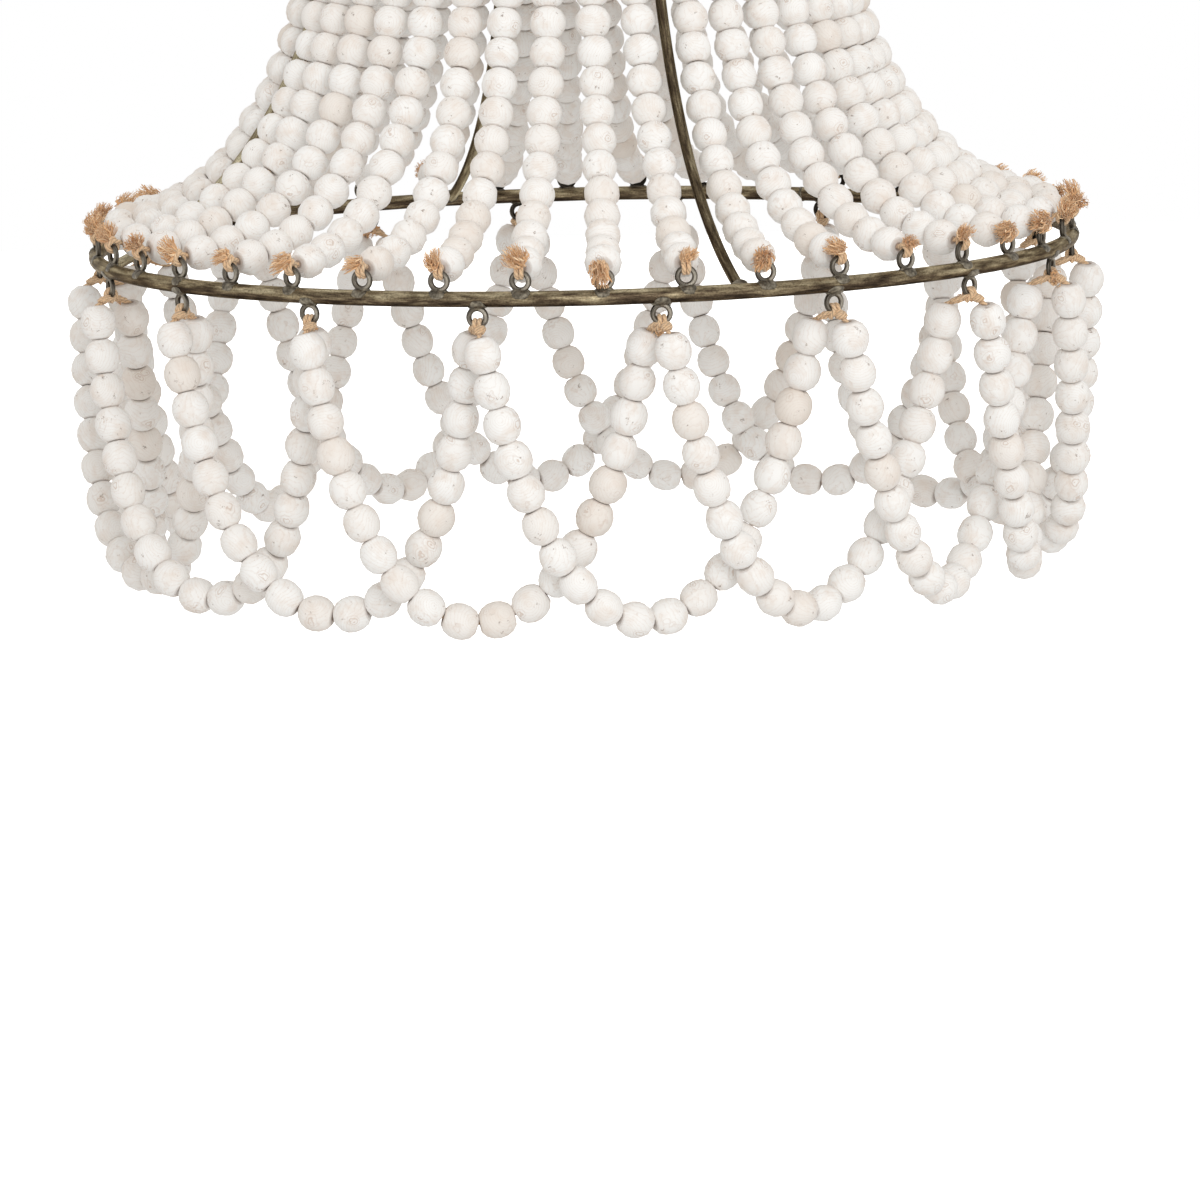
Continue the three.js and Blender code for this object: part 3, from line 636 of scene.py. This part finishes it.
def upper_strand(bm, foot, head, chance):
    """One strand's beads, its twine round the eye and its frayed end. Returns its last bead's end."""
    aside = max(-4, min(4, chance.gauss(0, 2)))
    for i in range(strand_beads):
        run = (i + 0.5) * BEAD_PITCH
        along = strand_point(foot, head, run + 4, aside) - strand_point(foot, head, max(run - 4, 0), aside)
        wander = Vector((chance.gauss(0, 0.25), chance.gauss(0, 0.25), 0))
        thread_bead(bm, strand_point(foot, head, run, aside) + wander, along, BEAD_SIZE, chance)
    threaded = [strand_point(foot, head, strand_length * i / 45, aside) for i in range(45)]
    sweep(bm, threaded, TWINE_RADIUS, 6, skin=1)
    eye = eye_frame(foot, RING_RADIUS, EYE_HEIGHT)
    hole = eye.inverted() @ strand_point(foot, head, 0.6)
    side = chance.choice((-1, 1))
    wrap = [hole + Vector((0, -4, 1.6)), hole] + [(side * x, y, z) for x, y, z in EYE_TURNS]
    sweep(bm, [eye @ Vector(point) for point in smooth_route(wrap, 4)], LOOP_TWINE, 7, skin=1)
    lean = radians(max(-50, min(115, chance.gauss(32, 42))))
    tail = (eye @ Matrix.Translation((-0.3 * side, 1.4, 7.2)) @ Matrix.Rotation(-lean, 4, "Y")
            @ Matrix.Rotation(radians(chance.uniform(-40, -10)), 4, "X")
            @ Matrix.Rotation(chance.uniform(0, tau), 4, "Z") @ Matrix.Scale(chance.uniform(0.8, 1.25), 4))
    add_copy(bm, chance.choice(frayed_templates), tail)
    return strand_point(foot, head, strand_beads * BEAD_PITCH - 0.6)


crown_step = (90 - RIB_GAP) / (STRANDS_PER_RIB - 1)
for number in range(RIB_COUNT * STRANDS_PER_RIB // 2):
    start = RIB_BEARING + 90 * (number // 5)
    first = 2 * (number % 5)
    chance = random.Random(100 + number)
    strand_mesh = bmesh.new()
    ends = []
    heads = []
    for index in (first, first + 1):
        head = start + RIB_GAP / 2 + crown_step * index
        heads.append(head)
        ends.append(upper_strand(strand_mesh, start + FIRST_STRAND + 9 * index, head, chance))
    over = []
    for head, end in zip(heads, ends):
        climb = [end, eye_frame(head, CROWN_RADIUS + CROWN_REACH, CROWN_RISE - 6).translation]
        for angle in range(0, 181, 30):
            turn = radians(angle)
            out, up = CROWN_REACH * cos(turn), CROWN_REACH * sin(turn)
            climb.append(eye_frame(head, CROWN_RADIUS + out, CROWN_RISE + up).translation)
        over.append(climb)
    middle = eye_frame(sum(heads) / 2, CROWN_RADIUS - CROWN_REACH - 0.3, CROWN_RISE - 2.6).translation
    sweep(strand_mesh, smooth_route(over[0] + [middle] + over[1][::-1], 3), TWINE_RADIUS, 8, skin=1)
    finish_piece(f"upper_strands_{number + 1}", strand_mesh, [white_wood, twine_jute, loose_jute], "fixture",
                 "whitewashed_wood", f"strand_pair_{number + 1}", sharp=None)

# Swags. Twenty of the same beads on one twine, hung between two eyes of the lower ring with one eye passed
# over between them. Each twine is looped over the eye's wire and knotted, and the left half of each swag
# hangs in front of its neighbour. A swag swings about its two eyes.
SWAG_BEADS = 20
SWAG_PITCH = 18.3
SWAG_BEAD_SIZE = (0.965, 1.045)
SWAG_INSET = 4
SWAG_ASIDE = 4.8
SWAG_DROP = 18.1
SWAG_LEAN = 12
SWAG_LEAN_PEAK = 0.68
TIE_TURNS = ((1.4, 2.4, -15.8), (1, 2.6, -13), (1, 1.6, -11), (1, 0, -10.3), (1, -1.6, -11),
             (1, -2.6, -13.2), (1.3, -1.0, -15.2), (1.5, 0.6, -17))
TIE_TWINE = 1.2
COIL_TWINE = 0.95
COIL_POINTS = 44
swag_span = RING_RADIUS * sin(radians(20)) - SWAG_INSET
swag_half = SWAG_BEADS * SWAG_PITCH / 2
low, high = 1e-6, 50
for _ in range(60):
    guess = (low + high) / 2
    low, high = (guess, high) if sinh(guess) / guess < swag_half / swag_span else (low, guess)
swag_size = swag_span / low
knot_templates = [frayed_end(seed, 7.5, 3.0, 40) for seed in range(20, 24)]


def swag_point(chord, run, sway=0):
    """The place on a swag at a length from its left end. Its belly may sway a little to one side."""
    x = swag_size * asinh((run - swag_half) / swag_size)
    inwards = SWAG_LEAN * sin(pi / 2 * x / (swag_span * SWAG_LEAN_PEAK))
    height = swag_size * (cosh(x / swag_size) - cosh(swag_span / swag_size)) - SWAG_DROP
    return chord @ Vector((x - SWAG_ASIDE + sway * (1 - (x / swag_span) ** 2), -inwards, height))


def swag_tie(bm, bearing, side, end, chance):
    """The twine from the end bead over the eye's wire, its turns round both its legs, and the frayed end."""
    eye = eye_frame(bearing, RING_RADIUS, 0)
    bead = eye.inverted() @ end
    across = -side * 1.25
    leg = -side
    route = [bead + Vector((0, 0, -3)), bead] + [(across * x, leg * y, z) for x, y, z in TIE_TURNS]
    sweep(bm, [eye @ Vector(point) for point in smooth_route(route, 4)], TIE_TWINE, 7, skin=1)
    top = Vector((across * 1.2, leg * 0.9, -13.9))
    foot = top.lerp(bead + Vector((0, 0, 0.4)), 0.62)
    coil = []
    for i in range(COIL_POINTS + 1):
        t = i / COIL_POINTS
        turn = 4 * tau * t
        swell = 1.35 + 1.0 * sin(pi * min(1, 0.2 + 0.75 * t))
        round_it = Vector((swell * cos(turn), (swell + 0.3) * sin(turn), 0.5 * sin(turn + t)))
        coil.append(top.lerp(foot, t) + round_it)
    sweep(bm, [eye @ point for point in coil], COIL_TWINE, 6, skin=1)
    size = chance.uniform(1.3, 1.7) if chance.random() < 0.12 else chance.uniform(0.5, 0.85)
    drop = eye @ Matrix.Translation(top.lerp(foot, 0.5))
    turn = Matrix.Rotation(chance.uniform(1.2, 2.6) * side, 4, "Y")
    turn = turn @ Matrix.Rotation(chance.uniform(0.2, 1.0), 4, "X")
    add_copy(bm, chance.choice(knot_templates), drop @ turn @ Matrix.Scale(size, 4))


for number in range(SWAG_COUNT):
    bearing = FIRST_SWAG + 20 * number
    chord = eye_frame(bearing, RING_RADIUS * cos(radians(20)), 0)
    chance = random.Random(300 + number)
    swag_mesh = bmesh.new()
    sway = max(-3, min(3, chance.gauss(0, 1.8)))
    for i in range(SWAG_BEADS):
        run = (i + 0.5) * SWAG_PITCH
        along = swag_point(chord, run + 4, sway) - swag_point(chord, run - 4, sway)
        thread_bead(swag_mesh, swag_point(chord, run, sway), along, SWAG_BEAD_SIZE, chance)
    threaded = [swag_point(chord, 0.5 + (2 * swag_half - 1) * i / 66, sway) for i in range(67)]
    sweep(swag_mesh, threaded, TWINE_RADIUS, 6, skin=1)
    swag_tie(swag_mesh, bearing - 20, -1, swag_point(chord, 0.5), chance)
    swag_tie(swag_mesh, bearing + 20, 1, swag_point(chord, 2 * swag_half - 0.5), chance)
    finish_piece(f"bead_swag_{number + 1}", swag_mesh, [white_wood, twine_jute, loose_jute],
                 f"swag_{number + 1}_body", "whitewashed_wood", f"swag_{number + 1}", sharp=None)

# Crown. A smaller ring of the same bar, and a cut steel plate with four arms that are welded to the ring's
# inner side. The plate sits on a nut on the stem. Antique bronze, as the rest of the frame.
HUB_RADIUS = 48
HUB_THICKNESS = 5
HUB_ARM = 12
HUB_BORE = 5.3
HUB_EDGE = 0.8
STEM_RADIUS = 5


def soften(bm, edges, offset, segments=2):
    """Rounds some edges over."""
    bmesh.ops.bevel(bm, geom=edges, offset=offset, segments=segments, profile=0.5, affect="EDGES",
                    material=-1)


def turned_metal(bm, outline, steps=48, matrix=None):
    """A turned piece from its outline as (radius, height), from the axis or as a closed ring."""
    verts = [bm.verts.new((r, 0, z)) for r, z in outline]
    pairs = list(zip(verts, verts[1:]))
    if outline[0][0] > 0:
        pairs.append((verts[-1], verts[0]))
    edges = [bm.edges.new(pair) for pair in pairs]
    bmesh.ops.spin(bm, geom=verts + edges, cent=(0, 0, 0), axis=(0, 0, 1), angle=tau, steps=steps,
                   use_merge=True)
    found = dict.fromkeys(verts)
    reach = list(verts)
    while reach:
        vert = reach.pop()
        for edge in vert.link_edges:
            other = edge.other_vert(vert)
            if other not in found:
                found[other] = None
                reach.append(other)
    whole = list(found)
    bmesh.ops.remove_doubles(bm, verts=whole, dist=0.001)
    whole = [vert for vert in whole if vert.is_valid]
    if matrix:
        bmesh.ops.transform(bm, matrix=matrix, verts=whole)
    return whole


crown_mesh = bmesh.new()
bar_ring(crown_mesh, CROWN_RADIUS, CROWN_RISE, 96, 14)
finish_piece("ring_crown", crown_mesh, [bar_bronze], "fixture", "antique_bronze", "crown_ring", sharp=70)

hub_mesh = bmesh.new()
at_hub = Matrix.Translation((0, 0, RING_PLANE + CROWN_RISE))
half = HUB_THICKNESS / 2
turned_metal(hub_mesh, [(HUB_BORE, -half), (HUB_RADIUS - HUB_EDGE, -half), (HUB_RADIUS, -half + HUB_EDGE),
                        (HUB_RADIUS, half - HUB_EDGE), (HUB_RADIUS - HUB_EDGE, half), (HUB_BORE, half)],
             72, at_hub)
arm_end = CROWN_RADIUS - BAR_RADIUS + 0.6
arm_start = HUB_RADIUS - 6
for number in range(RIB_COUNT):
    bearing = RIB_BEARING + 90 * number
    place = eye_frame(bearing, (arm_end + arm_start) / 2, CROWN_RISE)
    arm = Matrix.Diagonal((HUB_ARM, arm_end - arm_start, HUB_THICKNESS - 0.02, 1))
    made = bmesh.ops.create_cube(hub_mesh, size=1, matrix=place @ arm)
    soften(hub_mesh, edges_of(made["verts"]), HUB_EDGE)
    seam = eye_frame(bearing, CROWN_RADIUS - BAR_RADIUS - 0.6, CROWN_RISE)
    weld_lump(hub_mesh, seam, (5.4, 1.8, 2.3), number + 50)
finish_piece("hub_plate", hub_mesh, [cast_bronze, weld_metal], "fixture", "antique_bronze", "crown_hub",
             sharp=35)

# Stem. A threaded steel tube with a hexagon nut under the plate, screwed into the top loop, which is cast
# in one with its collar. Both are in the frame's antique bronze.
NUT_WIDTH = 17
NUT_HEIGHT = 6
NUT_EDGE = 0.5
THREAD_PITCH = 1.5
LOOP_RADIUS = 10
LOOP_WIRE = 2
COLLAR_RADIUS = 8
COLLAR_HEIGHT = 13
TOP_LOOP = -136.5


def hexagon_nut(bm, width, height, middle):
    """A hexagon nut with its corners turned off."""
    made = bmesh.ops.create_cone(bm, cap_ends=True, segments=6, radius1=width / 2, radius2=width / 2,
                                 depth=height, matrix=Matrix.Translation(middle))
    soften(bm, edges_of(made["verts"]), NUT_EDGE)


def threaded_rod(bm, radius, bottom, top):
    """A rod with a screw thread cut into it, as a spun outline of ridges."""
    outline = [(0, bottom), (radius - 0.6, bottom)]
    height = bottom + 0.4
    while height + THREAD_PITCH < top:
        for share, depth in ((0.35, 0), (0.5, 0), (0.85, 0.55), (1, 0.55)):
            outline.append((radius - depth, height + THREAD_PITCH * share))
        height += THREAD_PITCH
    outline += [(radius - 0.6, top), (0, top)]
    turned_metal(bm, outline, 24)


def cast_loop(bm, middle, facing):
    """A round loop on a collar, facing up or down from it, cast in one piece."""
    base = Matrix.Translation((0, 0, middle)) @ Matrix.Diagonal((1, 1, facing, 1))
    stand = base @ Matrix.Translation((LOOP_RADIUS, 0, 0))
    spun_wire(bm, LOOP_WIRE, 14, stand, (0, 1, 0), 48, (0, 0, middle))
    top = -LOOP_RADIUS
    bottom = top - COLLAR_HEIGHT
    turned_metal(bm, [(0, bottom), (COLLAR_RADIUS - 0.8, bottom), (COLLAR_RADIUS, bottom + 0.8),
                      (COLLAR_RADIUS, bottom + 4.6), (COLLAR_RADIUS - 1.2, bottom + 6),
                      (COLLAR_RADIUS - 2.8, bottom + 8), (3.9, bottom + 11), (3.4, top + 0.4),
                      (0, top + 1.2)], 40, base)


stem_mesh = bmesh.new()
stem_top = TOP_LOOP - LOOP_RADIUS - COLLAR_HEIGHT + 7.7
nut_top = RING_PLANE + CROWN_RISE - half
threaded_rod(stem_mesh, STEM_RADIUS, nut_top - NUT_HEIGHT - 0.3, stem_top)
hexagon_nut(stem_mesh, NUT_WIDTH, NUT_HEIGHT, (0, 0, nut_top - 0.3 - NUT_HEIGHT / 2))
finish_piece("stem_rod", stem_mesh, [cast_bronze], "fixture", "antique_bronze", "stem", sharp=35)
loop_mesh = bmesh.new()
cast_loop(loop_mesh, TOP_LOOP, 1)
finish_piece("loop_top", loop_mesh, [cast_bronze], "fixture", "antique_bronze", "top_loop", sharp=50)

# Chain. Three links of round wire, bent to ovals and welded closed at one side, each hung in the one above.
LINK_WIRE = 1.8
LINK_WIDTH = 15
LINK_LENGTH = 31
LINK_MIDDLES = (-69.9, -93.4, -116.9)

for number, middle in enumerate(LINK_MIDDLES):
    link_mesh = bmesh.new()
    bend = LINK_WIDTH / 2 - LINK_WIRE
    straight = (LINK_LENGTH - LINK_WIDTH) / 2
    spun_wire(link_mesh, LINK_WIRE, 14, Matrix.Translation((bend, 0, 0)), (0, 1, 0), 36)
    upper = [vert for vert in link_mesh.verts if vert.co.z > 0.001]
    lower = [vert for vert in link_mesh.verts if vert.co.z < -0.001]
    bmesh.ops.translate(link_mesh, vec=(0, 0, straight), verts=upper)
    bmesh.ops.translate(link_mesh, vec=(0, 0, -straight), verts=lower)
    turn = Matrix.Rotation(pi / 2 if number % 2 == 0 else 0, 4, "Z")
    bmesh.ops.transform(link_mesh, matrix=Matrix.Translation((0, 0, middle)) @ turn, verts=link_mesh.verts)
    seam = Matrix.Translation((0, 0, middle)) @ turn @ Matrix.Translation((bend, 0, 0))
    weld_lump(link_mesh, seam, (1.95, 1.95, 1.3), number + 70)
    finish_piece(f"chain_link_{number + 1}", link_mesh, [cast_bronze, weld_metal], f"link_{number + 1}",
                 "antique_bronze", f"link_{number + 1}", sharp=60)

# Ceiling fittings. A flat steel bracket screwed to the ceiling, a spun canopy that covers it, and the
# canopy's loop, whose shank passes through the canopy into the bracket's tapped boss and holds them together.
CANOPY_LOOP = -50.3
CANOPY_RADIUS = 63
CANOPY_HEIGHT = 27
CANOPY_WALL = 1.8
CANOPY_FOOT = 15
BRACKET = (104, 24, 4)
BOSS_RADIUS = 10
BOSS_FOOT = -11

canopy_mesh = bmesh.new()
outer, inner = [], []
for i in range(19):
    turn = pi / 2 * i / 18
    belly = CANOPY_RADIUS - CANOPY_FOOT
    fall = -(CANOPY_HEIGHT - CANOPY_WALL) * sin(turn)
    outer.append((CANOPY_FOOT + belly * cos(turn), fall - CANOPY_WALL * i / 18))
    inner.append((CANOPY_FOOT + (belly - CANOPY_WALL) * cos(turn), fall))
rim = [(outer[0][0] - 0.9, 0.0)]
bore = [(HUB_BORE, -CANOPY_HEIGHT), (HUB_BORE, CANOPY_WALL - CANOPY_HEIGHT)]
turned_metal(canopy_mesh, outer + bore + inner[::-1] + rim, 96)
finish_piece("canopy_dish", canopy_mesh, [cast_bronze], "ceiling", "antique_bronze", "canopy", sharp=50)

shank_mesh = bmesh.new()
cast_loop(shank_mesh, CANOPY_LOOP, -1)
threaded_rod(shank_mesh, STEM_RADIUS, CANOPY_LOOP + LOOP_RADIUS + COLLAR_HEIGHT - 1, -4.3)
finish_piece("loop_canopy", shank_mesh, [cast_bronze], "ceiling", "antique_bronze", "canopy_loop", sharp=50)

bracket_mesh = bmesh.new()
bar = Matrix.Translation((0, 0, -BRACKET[2] / 2)) @ Matrix.Diagonal((*BRACKET, 1))
bmesh.ops.create_cube(bracket_mesh, size=1, matrix=bar)
uprights = [edge for edge in bracket_mesh.edges if abs((edge.verts[0].co - edge.verts[1].co).z) > 1]
soften(bracket_mesh, uprights, 3, 5)
soften(bracket_mesh, list(bracket_mesh.edges), 0.3, 1)
turned_metal(bracket_mesh, [(HUB_BORE, -3.9), (BOSS_RADIUS, -3.9), (BOSS_RADIUS, BOSS_FOOT + 0.6),
                            (BOSS_RADIUS - 0.6, BOSS_FOOT), (HUB_BORE, BOSS_FOOT)], 36)
finish_piece("bracket_bar", bracket_mesh, [cast_bronze], "ceiling", "antique_bronze", "ceiling_bracket",
             sharp=35)

# Lamps. Three glazed porcelain lampholders under the plate, each with a brass screw shell and a small frosted
# globe bulb. They hang inside the crown, above what the swags and strands leave open to view.
LAMP_CIRCLE = 31
HOLDER_RADIUS = 13
HOLDER_HEIGHT = 30
HOLDER_BORE = 7.3
GLOBE_RADIUS = 18
CAP_RADIUS = 7


def glazed_porcelain():
    """Cream porcelain under a clear glaze, with a faint mottle and fine dimples."""
    made, tree, surface = new_material("glazed porcelain", 0.18, Coat_Weight=0.6, Coat_Roughness=0.08)
    place = object_place(tree)
    mottle = noise_at(tree, place, 160, 5, 0.5)
    feed(tree, surface.inputs["Base Color"], ramp(tree, mottle, (0.3, (0.78, 0.75, 0.69)),
                                                  (0.7, (0.86, 0.84, 0.79))))
    bump(tree, surface, mottle, 0.08)
    return made


def frosted_glass():
    """Thin white frosted glass, a little uneven in its frosting."""
    made, tree, surface = new_material("frosted glass", 0.38, Transmission_Weight=0.15,
                                       Specular_IOR_Level=0.5)
    frost = noise_at(tree, object_place(tree), 900, 4, 0.5)
    feed(tree, surface.inputs["Base Color"], ramp(tree, frost, (0.3, (0.86, 0.84, 0.79)),
                                                  (0.7, (0.93, 0.915, 0.88))))
    feed(tree, surface.inputs["Roughness"], ramp(tree, frost, (0.3, 0.3), (0.7, 0.5)))
    return made


def brass():
    """Pressed brass, slightly tarnished."""
    made, tree, surface = new_material("pressed brass", 0.3, 1.0)
    tarnish = noise_at(tree, object_place(tree), 350, 5, 0.5)
    feed(tree, surface.inputs["Base Color"], ramp(tree, tarnish, (0.35, (0.5, 0.34, 0.13)),
                                                  (0.65, (0.78, 0.58, 0.27))))
    feed(tree, surface.inputs["Roughness"], ramp(tree, tarnish, (0.3, 0.42), (0.7, 0.22)))
    bump(tree, surface, tarnish, 0.05)
    return made


porcelain = glazed_porcelain()
frosted = frosted_glass()
brass_shell = brass()
lamp_top = RING_PLANE + CROWN_RISE - half - 0.3
for number in range(3):
    spot = eye_frame(RIB_BEARING + 120 * (number + 0.5), LAMP_CIRCLE, 0).translation
    place = Matrix.Translation((spot.x, spot.y, 0))
    holder_mesh = bmesh.new()
    low, roof = lamp_top - HOLDER_HEIGHT, lamp_top - 4
    neck_radius = HOLDER_RADIUS - 0.8
    turned_metal(holder_mesh, [(0, roof), (HOLDER_BORE, roof), (HOLDER_BORE, low + 0.8), (8.1, low),
                               (11.4, low), (neck_radius, low + 0.9), (neck_radius, low + 9),
                               (HOLDER_RADIUS, low + 10), (HOLDER_RADIUS, low + 13), (neck_radius, low + 14),
                               (neck_radius, lamp_top - 5), (HOLDER_RADIUS, lamp_top - 4.2),
                               (HOLDER_RADIUS, lamp_top - 0.6), (HOLDER_RADIUS - 0.6, lamp_top),
                               (0, lamp_top)], 48, place)
    finish_piece(f"holder_{number + 1}", holder_mesh, [porcelain], "fixture", "porcelain",
                 f"lampholder_{number + 1}", sharp=40)
    bulb_mesh = bmesh.new()
    top = roof - 0.3
    neck = 27.7
    middle = top - neck - sqrt(GLOBE_RADIUS ** 2 - CAP_RADIUS ** 2)
    angles = [-pi / 2 + (pi * 0.865) * i / 22 for i in range(23)]
    outline = [(GLOBE_RADIUS * cos(a), middle + GLOBE_RADIUS * sin(a)) for a in angles]
    outline[0] = (0, outline[0][1])
    outline += [(CAP_RADIUS + 0.6, top - neck + 2.4), (CAP_RADIUS - 0.3, top - neck + 4.5),
                (CAP_RADIUS - 0.3, top - 21.5), (0, top - 21.5)]
    turned_metal(bulb_mesh, outline, 40, place)
    cap = [(0, top), (2.4, top), (3, top - 1.2), (4.6, top - 2.6), (CAP_RADIUS - 0.6, top - 3.2)]
    height = top - 4
    while height > top - 20:
        cap += [(CAP_RADIUS, height), (CAP_RADIUS, height - 0.9), (CAP_RADIUS - 0.6, height - 1.6),
                (CAP_RADIUS - 0.6, height - 2.2)]
        height -= 2.8
    cap += [(CAP_RADIUS - 0.2, top - 21.6), (0, top - 21.6)]
    shell = turned_metal(bulb_mesh, cap, 40, place)
    for vert in shell:
        for face in vert.link_faces:
            face.material_index = 1
    finish_piece(f"globe_{number + 1}", bulb_mesh, [frosted, brass_shell], "fixture", "frosted_glass",
                 f"bulb_{number + 1}", sharp=50)

# Studio. A pale floor well below the hanging piece, an even warm white surround, one large soft lamp from the
# front right, and the camera at the photograph's place, far off and a little above.
# Lengths are in metres here, the film's in millimetres.
FLOOR_HEIGHT = -3.6
SURROUND_STRENGTH = 0.87
KEY_SIZE = 1.4
KEY_POWER = 34
KEY_PLACE = (0.6, -3.2, 0.35)
KEY_AIM = (0, 0, -0.45)
FILM_WIDTH = 36
FOCAL_SHARE = 5635 / 1200
CAMERA_TURNS = (9.734, 0.071, 1.449)
CAMERA_DISTANCE = 3.059
CAMERA_RISE = 0.3264


def in_view(tree):
    """1 on the camera's rays, also mirrored or through glass, 0 on those that light the piece."""
    rays = add_node(tree, "LightPath").outputs
    return calc(tree, "MAXIMUM", rays["Is Camera Ray"],
                calc(tree, "MAXIMUM", rays["Is Glossy Ray"], rays["Is Transmission Ray"]))


floor_mesh = bmesh.new()
bmesh.ops.create_grid(floor_mesh, x_segments=1, y_segments=1, size=30,
                      matrix=Matrix.Translation((0, 0, FLOOR_HEIGHT)))
mesh = bpy.data.meshes.new("studio_floor")
floor_mesh.to_mesh(mesh)
floor_mesh.free()
floor = put("studio_floor", mesh)
made, tree, surface = new_material("studio floor", 0.9, Base_Color=(0.82, 0.82, 0.82, 1))
away = add_node(tree, "VectorMath", {"operation": "LENGTH"}, Vector=object_place(tree)).outputs["Value"]
level = ramp(tree, calc(tree, "MULTIPLY", away, 0.1), (0.36, 0.3), (0.6, 1.0))
glow = add_node(tree, "Emission", Color=(1, 1, 1, 1), Strength=level)
both = add_node(tree, "AddShader")
feed(tree, both.inputs[0], surface.outputs[0])
feed(tree, both.inputs[1], glow.outputs[0])
lit = add_node(tree, "MixShader", Fac=in_view(tree))
feed(tree, lit.inputs[1], surface.outputs[0])
feed(tree, lit.inputs[2], both.outputs[0])
feed(tree, tree.nodes["Material Output"].inputs["Surface"], lit.outputs[0])
mesh.materials.append(made)

world = bpy.data.worlds.new("studio")
bpy.context.scene.world = world
world.use_nodes = True
tree = world.node_tree
tree.nodes.clear()
light = add_node(tree, "Background", Color=(1, 0.975, 0.945, 1), Strength=SURROUND_STRENGTH)
white = add_node(tree, "Background", Color=(1, 1, 1, 1), Strength=1)
both = add_node(tree, "MixShader", Fac=in_view(tree))
feed(tree, both.inputs[1], light.outputs[0])
feed(tree, both.inputs[2], white.outputs[0])
add_node(tree, "OutputWorld", Surface=both.outputs[0])

lamp_data = bpy.data.lights.new("key", "AREA")
lamp_data.shape = "SQUARE"
lamp_data.size = KEY_SIZE
lamp_data.energy = KEY_POWER
lamp_data.color = (0.97, 0.98, 1.0)
lamp = put("key", lamp_data)
turn = (Vector(KEY_PLACE) - Vector(KEY_AIM)).to_track_quat("Z", "Y").to_matrix().to_4x4()
lamp.matrix_world = Matrix.Translation(KEY_PLACE) @ turn

camera_data = bpy.data.cameras.new("camera")
camera_data.lens = FOCAL_SHARE * FILM_WIDTH
camera_data.sensor_width = FILM_WIDTH
camera_data.clip_end = 100
camera = put("camera", camera_data)
pitch, yaw, roll = (radians(turn) for turn in CAMERA_TURNS)
stand = Matrix.Translation((0, -CAMERA_DISTANCE, RING_PLANE * MM + CAMERA_RISE))
stand = stand @ Matrix.Rotation(-yaw, 4, "Z") @ Matrix.Rotation(pi / 2 - pitch, 4, "X")
camera.matrix_world = stand @ Matrix.Rotation(-roll, 4, "Z")
bpy.context.scene.camera = camera
bpy.context.scene.view_settings.view_transform = "Standard"
